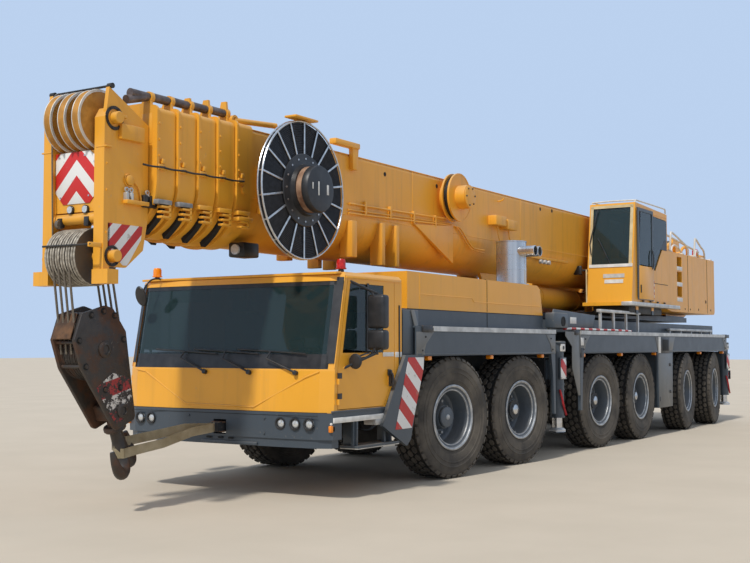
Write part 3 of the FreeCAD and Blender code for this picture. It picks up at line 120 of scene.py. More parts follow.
class Finish:
    """A material with its shader, built by adding nodes."""

    def __init__(self, name):
        self.material = bpy.data.materials.new(name)
        self.material.use_nodes = True
        self.tree = self.material.node_tree
        self.shader = self.tree.nodes["Principled BSDF"]

    def feed(self, socket, value):
        if isinstance(value, Link):
            self.tree.links.new(value.socket, socket)
        else:
            socket.default_value = value

    def add(self, kind, settings, *values, out=0, **named):
        node = self.tree.nodes.new(kind)
        for key, value in settings.items():
            if key == "stops":
                ramp = node.color_ramp
                for index, (place, shade) in enumerate(value):
                    stop = ramp.elements[index] if index < 2 else ramp.elements.new(place)
                    stop.position = place
                    stop.color = (shade, shade, shade, 1.0)
            else:
                setattr(node, key, value)
        for socket, value in zip(node.inputs, values):
            self.feed(socket, value)
        for key, value in named.items():
            self.feed(node.inputs[key.replace("_", " ")], value)
        return Link(self, node.outputs[out])

    def place(self, stretch=(1.0, 1.0, 1.0)):
        """Place on the object in metres, stretched along each axis."""
        coordinates = self.add("ShaderNodeTexCoord", {}, out="Object")
        return self.add("ShaderNodeVectorMath", {"operation": "MULTIPLY"}, coordinates, stretch)

    def axes(self):
        """Distances along X, Y and Z in metres."""
        split = self.add("ShaderNodeSeparateXYZ", {}, self.place())
        return [Link(self, socket) for socket in split.socket.node.outputs]

    def facing_up(self):
        """1 on level tops, 0 on walls."""
        normal = self.add("ShaderNodeTexCoord", {}, out="Normal")
        return self.add("ShaderNodeSeparateXYZ", {}, normal, out="Z").held()

    def cloud(self, scale, detail=4.0, roughness=0.55, stretch=(1.0, 1.0, 1.0)):
        place = self.place(stretch)
        return self.add("ShaderNodeTexNoise", {}, Vector=place, Scale=scale, Detail=detail, Roughness=roughness)

    def ramp(self, value, *stops):
        return self.add("ShaderNodeValToRGB", {"stops": stops}, value)

    def mix(self, share, first, second):
        node = self.tree.nodes.new("ShaderNodeMix")
        node.data_type = "RGBA"
        for index, value in ((0, share), (6, first), (7, second)):
            self.feed(node.inputs[index], value if isinstance(value, Link) or index == 0 else (*value, 1.0))
        return Link(self, node.outputs[2])

    def bump(self, height, distance):
        self.shade(Normal=self.add("ShaderNodeBump", {}, Height=height, Distance=distance, Strength=1.0))

    def shade(self, **looks):
        for key, value in looks.items():
            socket = self.shader.inputs[key.replace("_", " ")]
            self.feed(socket, (*value, 1.0) if isinstance(value, tuple) and len(value) == 3 else value)
        return self.material


# Ground: pale level floor, with the sky kept pale behind it.
# The floor takes the crane's shadow, and glass and metal show the same sky as the camera sees.
ground = Finish("pale_floor")
ground.shade(Base_Color=ground.mix(ground.cloud(0.8), (0.50, 0.44, 0.35), (0.60, 0.53, 0.43)), Roughness=0.9)
slab = bmesh.new()
bmesh.ops.create_grid(slab, x_segments=1, y_segments=1, size=120.0)
slab_mesh = bpy.data.meshes.new("floor")
slab.to_mesh(slab_mesh)
slab_mesh.materials.append(ground.material)
floor = bpy.data.objects.new("floor", slab_mesh)
bpy.context.collection.objects.link(floor)

sky = bpy.data.worlds.new("sky")
sky.use_nodes = True
bpy.context.scene.world = sky
sky_tree = sky.node_tree
fill = sky_tree.nodes["Background"]
fill.inputs["Color"].default_value = (0.80, 0.87, 1.0, 1.0)
fill.inputs["Strength"].default_value = 0.60
backdrop = sky_tree.nodes.new("ShaderNodeBackground")
backdrop.inputs["Color"].default_value = (0.50, 0.64, 0.86, 1.0)
backdrop.inputs["Strength"].default_value = 1.0
rays = sky_tree.nodes.new("ShaderNodeLightPath")
total = rays.outputs["Is Camera Ray"]
for name in ("Is Glossy Ray", "Is Transmission Ray"):
    joined = sky_tree.nodes.new("ShaderNodeMath")
    joined.operation = "MAXIMUM"
    sky_tree.links.new(total, joined.inputs[0])
    sky_tree.links.new(rays.outputs[name], joined.inputs[1])
    total = joined.outputs[0]
choose = sky_tree.nodes.new("ShaderNodeMixShader")
sky_tree.links.new(total, choose.inputs["Fac"])
sky_tree.links.new(fill.outputs["Background"], choose.inputs[1])
sky_tree.links.new(backdrop.outputs["Background"], choose.inputs[2])
sky_tree.links.new(choose.outputs["Shader"], sky_tree.nodes["World Output"].inputs["Surface"])


# Carrier frame, axles and drive shafts.
# Welded box girder and cast axle housings in matt underbody paint, under years of road dust,
# with a drive shaft bolted between each pair of differentials and air tanks strapped beside the frame.
def enamel(name, colour, dust=(0.42, 0.35, 0.25), dustiness=0.5, gloss=0.40, grime=0.35, shade_below=None):
    """Sprayed machine enamel: faded in patches, run with grime, dusty on its tops, and near black as painted shade
    below a given height.
    """
    paint = Finish(name)
    faded = paint.mix(
        paint.ramp(paint.cloud(0.7), (0.35, 0.0), (0.7, 1.0)), colour, tuple(min(1.0, c * 1.10 + 0.003) for c in colour))
    runs = paint.ramp(paint.cloud(1.0, 5.0, 0.6, (7.0, 7.0, 0.55)), (0.52, 0.0), (0.78, 1.0)) * grime
    run_marks = paint.mix(runs, faded, tuple(c * 0.55 + 0.02 for c in colour))
    settled = paint.facing_up() * (paint.cloud(3.0) * 0.8 + 0.35) * dustiness
    specks = paint.ramp(paint.cloud(26.0, 2.0), (0.68, 0.0), (0.74, 1.0)) * (grime * 0.5)
    dust_and_low_shade = paint.mix((settled + specks).held(), run_marks, dust)
    # Below the given height the paint turns near black: painted shade under an overhang.
    if shade_below is not None:
        dust_and_low_shade = paint.mix(paint.axes()[2] > shade_below, (0.014, 0.013, 0.012), dust_and_low_shade)
    paint.shade(Base_Color=dust_and_low_shade, Roughness=(paint.cloud(5.0) * 0.2 + gloss - 0.1 + settled * 0.3).held())
    paint.bump(paint.cloud(60.0, 2.0), 0.0006)
    return paint.material


def mottled(name, first, second, scale, roughness, relief=0.0, **fixed):
    """Plain stuff whose colour and gloss wander between two shades."""
    stuff = Finish(name)
    stuff.shade(
        Base_Color=stuff.mix(stuff.ramp(stuff.cloud(scale), (0.35, 0.0), (0.68, 1.0)), first, second),
        Roughness=(stuff.cloud(scale * 2.3) * 0.2 + roughness - 0.1).held(), **fixed)
    if relief:
        stuff.bump(stuff.cloud(scale * 6.0, 3.0), relief)
    return stuff.material


class Work:
    """A piece in the making: shapes from mesh operators, each with its own finish."""

    def __init__(self):
        self.shape = bmesh.new()
        self.finishes = []

    def add(self, part, finish, place=None):
        if finish not in self.finishes:
            self.finishes.append(finish)
        for face in part.faces:
            face.material_index = self.finishes.index(finish)
        if place is not None:
            bmesh.ops.transform(part, matrix=place, verts=part.verts)
            if place.determinant() < 0:
                bmesh.ops.reverse_faces(part, faces=part.faces)
        scratch = bpy.data.meshes.new("scratch")
        part.to_mesh(scratch)
        part.free()
        self.shape.from_mesh(scratch)
        bpy.data.meshes.remove(scratch)

    def block(self, low, high, finish, edge=0.004, segments=2, place=None):
        """Box with rounded edges."""
        part = bmesh.new()
        size = Vector(abs(b - a) for a, b in zip(low, high))
        middle = (Vector(high) + Vector(low)) / 2
        bmesh.ops.create_cube(part, size=1.0, matrix=Matrix.Translation(middle) @ Matrix.Diagonal((*size, 1.0)))
        if edge:
            bmesh.ops.bevel(
                part, geom=part.edges[:], offset=min(edge, min(size) * 0.45), offset_type="OFFSET", segments=segments,
                profile=0.5, affect="EDGES", material=-1)
        self.add(part, finish, place)

    def rod(self, start, end, radius, finish, sides=18, tip=None):
        """Round bar, or a cone where a tip radius is given."""
        line = Vector(end) - Vector(start)
        part = bmesh.new()
        bmesh.ops.create_cone(
            part, cap_ends=True, segments=sides, radius1=radius, radius2=radius if tip is None else tip,
            depth=line.length)
        turn = line.to_track_quat("Z", "Y").to_matrix().to_4x4()
        self.add(part, finish, Matrix.Translation((Vector(start) + Vector(end)) / 2) @ turn)

    def plate(self, points, thickness, finish, edge=0.0, hole=0.0):
        """Flat outline as thick as the vector, with a rim of that width where a hole is given."""
        part = bmesh.new()
        face = part.faces.new([part.verts.new(point) for point in points])
        if hole:
            bmesh.ops.inset_region(part, faces=[face], thickness=hole, use_even_offset=True)
            bmesh.ops.delete(part, geom=[face], context="FACES_ONLY")
        grown = bmesh.ops.extrude_face_region(part, geom=part.faces[:], use_keep_orig=True)
        moved = [item for item in grown["geom"] if isinstance(item, bmesh.types.BMVert)]
        bmesh.ops.translate(part, vec=thickness, verts=moved)
        bmesh.ops.recalc_face_normals(part, faces=part.faces)
        if edge:
            sharp = [item for item in part.edges if item.calc_face_angle(0.0) > 0.5]
            bmesh.ops.bevel(
                part, geom=sharp, offset=edge, offset_type="OFFSET", segments=2, profile=0.5, affect="EDGES",
                material=-1)
        self.add(part, finish)

    def lathe(self, profile, finish, place=None, steps=36, sweep=math.tau):
        """Closed outline of (radius, height) points spun about Z."""
        part = bmesh.new()
        corners = [part.verts.new((radius, 0.0, height)) for radius, height in profile]
        rim = [part.edges.new(pair) for pair in zip(corners, corners[1:] + corners[:1])]
        whole = sweep > 6.28
        if not whole:
            part.faces.new(corners)
            rim = part.faces[:] + rim
        spun = bmesh.ops.spin(
            part, geom=corners + rim, cent=(0, 0, 0), axis=(0, 0, 1), dvec=(0, 0, 0), angle=sweep, steps=steps,
            use_merge=whole, use_duplicate=False)
        bmesh.ops.remove_doubles(part, verts=part.verts, dist=0.00001)
        bmesh.ops.recalc_face_normals(part, faces=part.faces)
        self.add(part, finish, place)

    def pipe(self, points, radius, finish, order=3, sides=3):
        """Bent tube along a smooth line that follows the points."""
        line = bpy.data.curves.new("line", "CURVE")
        line.dimensions = "3D"
        line.bevel_depth = radius
        line.bevel_resolution = sides
        line.use_fill_caps = True
        run = line.splines.new("NURBS")
        run.points.add(len(points) - 1)
        for point, place in zip(run.points, points):
            point.co = (*place, 1.0)
        run.order_u = order
        run.use_endpoint_u = True
        run.resolution_u = 6
        holder = bpy.data.objects.new("line", line)
        bent = bpy.data.meshes.new_from_object(holder)
        part = bmesh.new()
        part.from_mesh(bent)
        bmesh.ops.remove_doubles(part, verts=part.verts, dist=0.00001)
        bmesh.ops.recalc_face_normals(part, faces=part.faces)
        bpy.data.objects.remove(holder)
        bpy.data.curves.remove(line)
        bpy.data.meshes.remove(bent)
        self.add(part, finish)

    def bolts(self, places, facing, radius, finish, height=0.012):
        """Hexagon heads that stand on a surface."""
        for place in places:
            self.rod(Vector(place) - Vector(facing) * 0.004, Vector(place) + Vector(facing) * height, radius, finish, 6)

    def mirrored(self):
        """The same again on the machine's other side."""
        twin = bmesh.ops.duplicate(self.shape, geom=self.shape.verts[:] + self.shape.edges[:] + self.shape.faces[:])
        verts = [item for item in twin["geom"] if isinstance(item, bmesh.types.BMVert)]
        faces = [item for item in twin["geom"] if isinstance(item, bmesh.types.BMFace)]
        bmesh.ops.scale(self.shape, vec=(1.0, -1.0, 1.0), verts=verts)
        bmesh.ops.reverse_faces(self.shape, faces=faces)

    def done(self, name, body, slot, *replaced):
        mesh = bpy.data.meshes.new(name)
        self.shape.to_mesh(mesh)
        self.shape.free()
        for finish in self.finishes:
            mesh.materials.append(finish)
        mesh.shade_smooth()
        mesh.set_sharp_from_angle(angle=math.radians(34.0))
        piece = bpy.data.objects.new(name, mesh)
        bpy.context.collection.objects.link(piece)
        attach(piece, body)
        if replaced:
            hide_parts(*replaced)


def dress(finish, *nodes):
    """Gives construction parts their finish."""
    for node in nodes:
        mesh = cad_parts[node].data
        mesh.materials.clear()
        mesh.materials.append(finish)


AXLES = {1: (3.95, 1.0), 2: (1.98, 0.72), 3: (-1.03, 0.5), 4: (-2.95, 0.0), 5: (-5.67, -0.6), 6: (-7.58, -0.75)}
SIDES = {"left": 1, "right": -1}
AXLE_Z = 0.75
underbody = enamel("underbody_black", (0.022, 0.024, 0.027), dustiness=0.7, gloss=0.6, grime=0.5)
knuckles = ["knuckle_%d_%s" % (axle, side) for axle in AXLES if axle != 4 for side in SIDES]
dress(underbody, "chassis_frame", "axle_beams", "engine_block", *knuckles)
shafts = Work()
places = [place for place, share in AXLES.values()]
for front, rear in zip(places, places[1:]):
    shafts.rod((front - 0.19, 0, AXLE_Z), (rear + 0.19, 0, AXLE_Z), 0.052, underbody, 20)
    for end, way in ((front - 0.24, -1), (rear + 0.24, 1)):
        shafts.rod((end, 0, AXLE_Z), (end + 0.05 * way, 0, AXLE_Z), 0.10, underbody, 24)
        shafts.bolts([(end + 0.05 * way, 0.075 * math.cos(t), AXLE_Z + 0.075 * math.sin(t)) for t in range(6)],
                     (way, 0, 0), 0.012, underbody)
for place in (4.55, 2.95, 0.95, -1.95, -4.1, -6.62):
    shafts.rod((place + 0.35, 0.62, 1.17), (place - 0.35, 0.62, 1.17), 0.14, underbody, 28)
    for strap in (-0.2, 0.2):
        shafts.rod((place + strap - 0.02, 0.62, 1.17), (place + strap + 0.02, 0.62, 1.17), 0.146, underbody, 28)
        shafts.block((place + strap - 0.025, 0.39, 1.29), (place + strap + 0.025, 0.64, 1.33), underbody)
shafts.done("drive_shafts_and_tanks", "carrier", "axle_black")

# Tyres.
# Heavy radial tyres with ribbed walls, lugs on the shoulders and three rows of staggered blocks,
# grey with dried dust, with the groove floor between the blocks painted near black as shade.
WHEEL_Y = 1.275
KINGPIN_Y = 1.05
STEER_AT_REST = -9.0
TREAD_FLOOR = 0.731
BLOCKS = 40

rubber_look = Finish("dusty_rubber")
height_over_ground = rubber_look.ramp(rubber_look.cloud(2.6, 6.0, 0.6), (0.34, 0.0), (0.7, 1.0))
rubber_look.shade(
    Base_Color=rubber_look.mix(height_over_ground, (0.040, 0.036, 0.032), (0.135, 0.118, 0.096)),
    Roughness=rubber_look.cloud(10.0) * 0.2 + 0.74)
rubber_look.bump(rubber_look.cloud(55.0, 4.0), 0.0018)
rubber = rubber_look.material
block_rubber = mottled("tread_block_rubber", (0.045, 0.041, 0.037), (0.120, 0.106, 0.088), 5.0, 0.82, 0.002)
# Near-black tread floor between the blocks: painted shade in the grooves.
groove_shade_rubber = mottled("tread_groove_painted_shade", (0.006, 0.006, 0.006), (0.020, 0.018, 0.016), 9.0, 0.9)

wall = [
    (0.398, 0.172), (0.412, 0.184), (0.440, 0.188), (0.443, 0.193), (0.454, 0.194), (0.458, 0.199), (0.500, 0.207),
    (0.545, 0.212), (0.548, 0.216), (0.560, 0.216), (0.563, 0.213), (0.600, 0.2145), (0.604, 0.218), (0.616, 0.218),
    (0.620, 0.2135), (0.655, 0.209), (0.685, 0.203), (0.708, 0.195), (0.722, 0.180), (TREAD_FLOOR, 0.150)]
tyre = Work()
tyre.lathe(
    [(0.393, -0.160)] + [(r, -h) for r, h in wall] + wall[::-1] + [(0.393, 0.160)], rubber, steps=64)
tyre.lathe([(0.715, -0.182), (0.7315, -0.152), (0.7315, 0.152), (0.715, 0.182)], groove_shade_rubber, steps=64)
for turn in range(BLOCKS):
    for row, across in ((0.0, 0.0), (0.5, 0.088), (0.5, -0.088)):
        spin_to = Matrix.Rotation(math.tau * (turn + row) / BLOCKS, 4, "Z")
        stand = Matrix.Translation((TREAD_FLOOR + 0.001, 0, across)) @ Matrix.Rotation(math.pi / 2, 4, "Y")
        block = bmesh.new()
        bmesh.ops.create_cone(block, cap_ends=True, segments=6, radius1=0.047, radius2=0.041, depth=0.026)
        bmesh.ops.scale(block, vec=(0.86, 1.16, 1.0), verts=block.verts)
        tyre.add(block, block_rubber, spin_to @ stand)
    for side in (1, -1):
        spin_to = Matrix.Rotation(math.tau * (turn + 0.25 * side) / BLOCKS, 4, "Z")
        lug = bmesh.new()
        bmesh.ops.create_cube(lug, size=1.0, matrix=Matrix.Diagonal((0.040, 0.078, 0.060, 1.0)))
        lean = Matrix.Translation((0.716, 0, 0.170 * side)) @ Matrix.Rotation(0.52 * side, 4, "Y")
        tyre.add(lug, block_rubber, spin_to @ lean)
tyre_mesh = bpy.data.meshes.new("tyre_master")
tyre.shape.to_mesh(tyre_mesh)

# Wheels.
# Pressed deep-dish wheels in grey-blue enamel: a broad flange with a bright worn lip ring,
# a bolted disc well inside, and a turned hub cap in the middle.
wheel_paint = enamel("wheel_grey", (0.085, 0.105, 0.130), dustiness=0.25, grime=0.45)
worn_lip = mottled("worn_steel_lip", (0.30, 0.31, 0.32), (0.52, 0.53, 0.53), 14.0, 0.45, Metallic=0.5)
bright_steel = mottled("turned_steel", (0.50, 0.50, 0.50), (0.70, 0.70, 0.69), 20.0, 0.3, Metallic=0.9)
rim = Work()
rim.lathe([
    (0.391, -0.172), (0.391, 0.168), (0.404, 0.178), (0.404, 0.190), (0.396, 0.195), (0.376, 0.190), (0.372, 0.180),
    (0.366, 0.172), (0.344, 0.166), (0.336, 0.155), (0.330, 0.02), (0.318, -0.046), (0.300, -0.062), (0.262, -0.068),
    (0.240, -0.060), (0.170, -0.060), (0.155, -0.070), (0.150, 0.040), (0.140, 0.058), (0.0645, 0.060),
    (0.0645, -0.118), (0.345, -0.118), (0.352, -0.172)], wheel_paint, steps=48)
rim.lathe([(0.372, 0.188), (0.377, 0.196), (0.392, 0.201), (0.405, 0.196), (0.405, 0.188)], worn_lip, steps=48)
rim.lathe([(0.330, 0.160), (0.334, 0.172), (0.346, 0.173), (0.346, 0.160)], worn_lip, steps=48)
rim.bolts([(0.205 * math.cos(a), 0.205 * math.sin(a), -0.060) for a in [math.tau * n / 10 for n in range(10)]],
          (0, 0, 1), 0.019, worn_lip, 0.028)
rim.rod((0.362, 0, 0.15), (0.34, 0, 0.205), 0.006, bright_steel, 8)
rim_mesh = bpy.data.meshes.new("rim_master")
rim.shape.to_mesh(rim_mesh)

for axle, (place, share) in AXLES.items():
    for name, side in SIDES.items():
        stand = Matrix.Translation((place, WHEEL_Y * side, AXLE_Z)) @ Matrix.Rotation(-math.pi / 2 * side, 4, "X")
        kingpin = Matrix.Translation((place, KINGPIN_Y * side, 0))
        turn = kingpin @ Matrix.Rotation(math.radians(STEER_AT_REST * share), 4, "Z") @ kingpin.inverted()
        wheel = Work()
        for master, finishes in ((tyre_mesh, tyre.finishes), (rim_mesh, rim.finishes)):
            for index, finish in enumerate(finishes):
                part = bmesh.new()
                part.from_mesh(master)
                others = [face for face in part.faces if face.material_index != index]
                bmesh.ops.delete(part, geom=others, context="FACES")
                phase = Matrix.Rotation(0.4 * axle + 0.2 * side, 4, "Z")
                wheel.add(part, finish, turn @ stand @ phase)
        cap = [(0.0, 0.118), (0.050, 0.116), (0.068, 0.104), (0.074, 0.086), (0.074, 0.080), (0.0, 0.080)]
        if axle > 1:
            wheel.lathe(cap, bright_steel, turn @ stand, 28)
        else:
            flat_cap = [(0.0, 0.108), (0.112, 0.106), (0.126, 0.098), (0.132, 0.080), (0.0, 0.080)]
            wheel.lathe(flat_cap, wheel_paint, turn @ stand, 36)
            wheel.lathe([(0.0, 0.116), (0.030, 0.114), (0.036, 0.106), (0.0, 0.106)], worn_lip, turn @ stand, 20)
        wheel.done("tyre_and_wheel_%d_%s" % (axle, name), "wheel_%d_%s" % (axle, name), "tyre",
                   "wheel_%d_%s" % (axle, name))
bpy.data.meshes.remove(tyre_mesh)
bpy.data.meshes.remove(rim_mesh)

# Deck, skirts, lockers and rails.
# Folded sheet-steel panels in dark grey enamel close in the frame above the wheels, with posts between
# the arches, bolted warning plates, marker lamps, steps and worn aluminium rails along both edges.
grey = enamel("dark_grey_enamel", (0.052, 0.068, 0.086), dustiness=0.35, grime=0.35)
pale_grey = enamel("locker_grey", (0.125, 0.130, 0.130), dustiness=0.3, grime=0.5)
aluminium = mottled("dull_aluminium", (0.42, 0.42, 0.41), (0.66, 0.66, 0.64), 5.0, 0.45, Metallic=0.45)
black = mottled("moulded_black", (0.012, 0.012, 0.013), (0.030, 0.030, 0.032), 8.0, 0.42, 0.0005)
sign_white = mottled("blank_sign", (0.60, 0.60, 0.58), (0.76, 0.76, 0.74), 9.0, 0.4)
amber = mottled("amber_lens", (0.75, 0.20, 0.01), (0.95, 0.34, 0.02), 30.0, 0.2)
red_lens = mottled("red_lens", (0.40, 0.010, 0.008), (0.60, 0.02, 0.015), 30.0, 0.25)
# Near black for dark joints, and painted shade in holes, slots, recesses and gaps where no light reaches.
joint_black_and_shade = mottled("dark_joint_and_painted_shade", (0.006, 0.006, 0.006), (0.014, 0.013, 0.012), 12.0, 0.8)
dress(grey, "carrier_deck")
dress(aluminium, "deck_rails")


def striped(name, across, period, shift=0.0):
    """Red and white reflecting film, with stripes that cross the given direction."""
    film = Finish(name)
    run = film.add("ShaderNodeVectorMath", {"operation": "DOT_PRODUCT"}, film.place(), across, out="Value")
    band = (run / period + shift) % 1.0 > 0.5
    chipped = film.ramp(film.cloud(13.0, 7.0, 0.65), (0.60, 0.0), (0.66, 1.0)) * 0.55
    film.shade(
        Base_Color=film.mix(chipped, film.mix(band, (0.50, 0.018, 0.014), (0.74, 0.75, 0.75)), (0.30, 0.24, 0.18)),
        Roughness=film.cloud(12.0) * 0.2 + 0.3)
    return film.material


side_stripes = striped("side_warning_film", (0.62, 0.0, -0.78), 0.27, 0.79)
panels = Work()
panels.plate([(5.17, 1.500, 1.50), (4.815, 1.500, 1.50), (4.83, 1.500, 1.36), (5.105, 1.500, 0.69),
              (5.465, 1.500, 0.69)], (0, 0.004, 0), side_stripes)
for low, high in (((4.99, 1.87), (0.905, 1.81)), ((-0.06, 1.87), (-8.47, 1.81))):
    front, rear = low[0], high[0]
    for post, lean in ((front, -0.42), (rear, 0.34)):
        panels.plate([(post, 1.498, 1.80), (post + lean, 1.498, 1.80), (post + lean * 0.55, 1.498, 1.66),
                      (post + lean * 0.38, 1.498, 1.52), (post, 1.498, 1.52)], (0, 0.007, 0), pale_grey, 0.002)
        panels.bolts([(post + lean * 0.5, 1.505, 1.74), (post + lean * 0.32, 1.505, 1.58)], (0, 1, 0), 0.011, black)
    panels.block((rear + 0.02, 1.497, 1.522), (front - 0.02, 1.507, 1.545), grey)
for front, rear in ((-3.66, -4.82),):
    panels.plate([(front, 1.498, 1.80), (rear, 1.498, 1.80), (rear + 0.18, 1.498, 1.52), (front - 0.16, 1.498, 1.52)],
                 (0, 0.008, 0), pale_grey, 0.002)
panels.block((-3.96, 1.500, 1.50), (-3.83, 1.512, 1.80), sign_white)
panels.block((-4.46, 1.492, 1.50), (-3.98, 1.512, 1.79), black, 0.01)
panels.block((-4.40, 1.508, 1.54), (-4.04, 1.515, 1.75), joint_black_and_shade, 0.01)
panels.block((-4.63, 1.497, 0.50), (-3.85, 1.507, 1.49), pale_grey, 0.008)
panels.block((-4.56, 1.504, 0.56), (-3.92, 1.510, 1.43), pale_grey, 0.004)
for low in (0.78, 1.28):
    panels.block((-4.52, 1.508, low - 0.03), (-4.44, 1.522, low + 0.03), black, 0.006)
panels.block((-3.90, 1.508, 0.62), (-3.87, 1.514, 0.70), black, 0.003)

# Posts, strakes and lamps between the wheels.
for low, high in ((1.45, 1.60), (1.64, 1.76)):
    panels.block((-0.20, 1.500, low), (-0.08, 1.509, high), black if low < 1.5 else sign_white)
for place in (4.62, 2.95, 1.30, -0.30, -1.99, -3.78, -4.70, -6.62, -8.30):
    panels.block((place - 0.045, 1.40, 1.462), (place + 0.045, 1.475, 1.515), amber, 0.008)
for front, rear in ((4.60, 0.94), (-0.09, -8.27)):
    count = round((front - rear) / 0.30)
    for step in range(count):
        place = front - 0.12 - step * (front - rear - 0.2) / count
        panels.rod((place, 1.519, 1.84), (place, 1.5255, 1.84), 0.008, aluminium, 8)
panels.block((4.62, 1.44, 1.795), (4.86, 1.523, 1.875), black, 0.012)
panels.block((-8.47, 1.44, 1.795), (-8.30, 1.523, 1.875), black, 0.012)
panels.block((0.02, 1.44, 1.80), (0.16, 1.522, 1.875), black, 0.012)

# Folding steps and handholds along the rear deck.
for rear, front, low, high in ((-3.30, -1.33, 1.88, 2.24), (-7.9, -5.0, 1.88, 1.97)):
    panels.block((rear, 1.28, high - 0.05), (front, 1.36, high), aluminium, 0.008)
    stands = 4 if front - rear < 2.5 else 5
    for step in range(stands):
        place = rear + 0.06 + step * (front - rear - 0.12) / (stands - 1)
        panels.plate([(place - 0.03, 1.31, 1.86), (place + 0.03, 1.31, 1.86), (place + 0.03, 1.31, high - 0.02),
                      (place - 0.03, 1.31, high - 0.02)], (0, 0.03, 0), aluminium)
panels.plate([(0.75, 1.31, 1.885), (-1.0, 1.31, 1.885), (-1.15, 1.31, 2.13), (0.55, 1.31, 2.19)], (0, 0.025, 0), grey,
             0.004)
panels.block((-0.08, 1.334, 1.98), (-0.32, 1.340, 2.08), sign_white, 0.002)
panels.block((0.30, 1.30, 1.90), (0.82, 1.46, 2.13), grey, 0.02)
panels.lathe([(0.0, -0.003), (0.062, -0.003), (0.070, 0.004), (0.076, 0.004), (0.076, -0.008), (0.0, -0.008)],
             joint_black_and_shade, Matrix.Translation((0.50, 1.464, 2.0)) @ Matrix.Rotation(-math.pi / 2, 4, "X"), 24)
panels.block((0.9, 1.298, 1.86), (4.86, 1.306, 1.875), joint_black_and_shade, 0.0)
panels.block((0.9, 1.298, 2.074), (4.86, 1.304, 2.082), joint_black_and_shade, 0.0)
panels.block((2.738, 1.298, 1.88), (2.744, 1.3045, 2.07), joint_black_and_shade, 0.0)
panels.block((4.855, 1.24, 1.53), (5.222, 1.455, 2.055), grey, 0.010)
panels.plate([(5.05, 1.456, 2.05), (4.97, 1.456, 2.05), (4.80, 1.500, 1.53), (4.88, 1.500, 1.53)], (0, 0.012, 0),
             pale_grey, 0.002)
panels.mirrored()
for side, reach in ((1, 0.26), (-1, 0.09)):
    panels.plate([(reach, 1.49 * side, 1.85), (-0.05, 1.49 * side, 1.85), (-0.055, 1.49 * side, 0.87),
                  (0.02, 1.49 * side, 0.87), (reach - 0.01, 1.49 * side, 1.30)], (0, 0.010 * side, 0), pale_grey, 0.003)
panels.plate([(0.50, 1.49, 1.85), (0.26, 1.49, 1.85), (0.25, 1.49, 1.62), (0.50, 1.49, 1.78)], (0, 0.010, 0), pale_grey)

# Red and white webbing lies along the left rail, and tail lamps hang behind the rear bumper beam.
webbing = striped("webbing_film", (0.97, 0.0, 0.2), 0.32)
panels.pipe([(0.34, 1.40, 1.89), (0.15, 1.42, 1.90), (-0.4, 1.44, 1.895), (-1.2, 1.43, 1.892), (-1.9, 1.45, 1.893),
             (-2.55, 1.44, 1.885)], 0.018, webbing)
for side in (1, -1):
    for place, finish in ((1.38, red_lens), (1.22, amber), (1.06, red_lens)):
        panels.block((-8.86, side * place - 0.07, 0.93), (-8.815, side * place + 0.07, 1.06), finish, 0.012)
    panels.block((-8.85, side * 1.22 - 0.26, 0.90), (-8.82, side * 1.22 + 0.26, 1.09), black, 0.01)
panels.block((-8.835, -0.30, 0.98), (-8.822, 0.30, 1.16), sign_white, 0.004)
panels.done("skirt_panels_and_rails_trim", "carrier", "chassis_grey")

# Outriggers.
# Box beams in grey enamel with a jack on each end: warning film and a reflector on the jack tube,
# a polished rod below, and a red tie strap that holds the foot pad.
chrome = mottled("hard_chrome", (0.50, 0.50, 0.50), (0.68, 0.68, 0.68), 14.0, 0.2, Metallic=1.0)
red_strap = mottled("red_tie_strap", (0.30, 0.012, 0.018), (0.48, 0.03, 0.035), 25.0, 0.85, 0.002)
for name, place, side in (("front_left", 0.56, 1), ("front_right", 0.265, -1), ("rear_left", -8.65, 1),
                          ("rear_right", -8.65, -1)):
    dress(grey, "outrigger_" + name)
    dress(chrome, "jack_" + name)
    tube = Work()
    face = 1.478
    tube.block((place - 0.12, face - 0.02, 1.13), (place + 0.12, face + 0.004, 1.46), grey, 0.006)
    tube.block((place - 0.10, face + 0.002, 1.14), (place + 0.10, face + 0.008, 1.44), side_stripes, 0.002)
    tube.block((place - 0.075, face - 0.02, 1.55), (place + 0.075, face + 0.006, 1.66), sign_white, 0.004)
    tube.rod((place, face + 0.002, 1.605), (place, face + 0.012, 1.605), 0.028, black, 16)
    tube.block((place - 0.11, 1.262, 1.66), (place + 0.11, 1.482, 1.705), grey, 0.02)
    for ring in (0.575, 0.98, 1.06):
        tube.lathe([(0.100, -0.012), (0.113, -0.012), (0.113, 0.012), (0.100, 0.012)], grey,
                   Matrix.Translation((place, 1.372, ring)), 28)
    tube.pipe([(place + 0.10, 1.46, 0.98), (place + 0.09, 1.492, 0.86), (place + 0.05, 1.496, 0.74),
               (place - 0.02, 1.490, 0.66), (place - 0.07, 1.488, 0.60)], 0.017, red_strap)
    tube.bolts([(place + dx, face + 0.008, z) for dx in (-0.085, 0.085) for z in (1.155, 1.425)], (0, 1, 0), 0.009,
               black, 0.006)
    if side < 0:
        flip = Matrix.Diagonal((1, -1, 1, 1))
        bmesh.ops.transform(tube.shape, matrix=flip, verts=tube.shape.verts)
        bmesh.ops.reverse_faces(tube.shape, faces=tube.shape.faces)
    tube.done("jack_tube_trim_" + name, "outrigger_" + name, "chassis_grey")
    pad = Work()
    pad.lathe([(0.0, 0.352), (0.115, 0.352), (0.125, 0.360), (0.125, 0.378), (0.105, 0.398), (0.085, 0.412),
               (0.0, 0.412)], aluminium, Matrix.Translation((place, 1.372 * side, 0)), 32)
    pad.done("foot_collar_" + name, "jack_" + name, "light_aluminium")

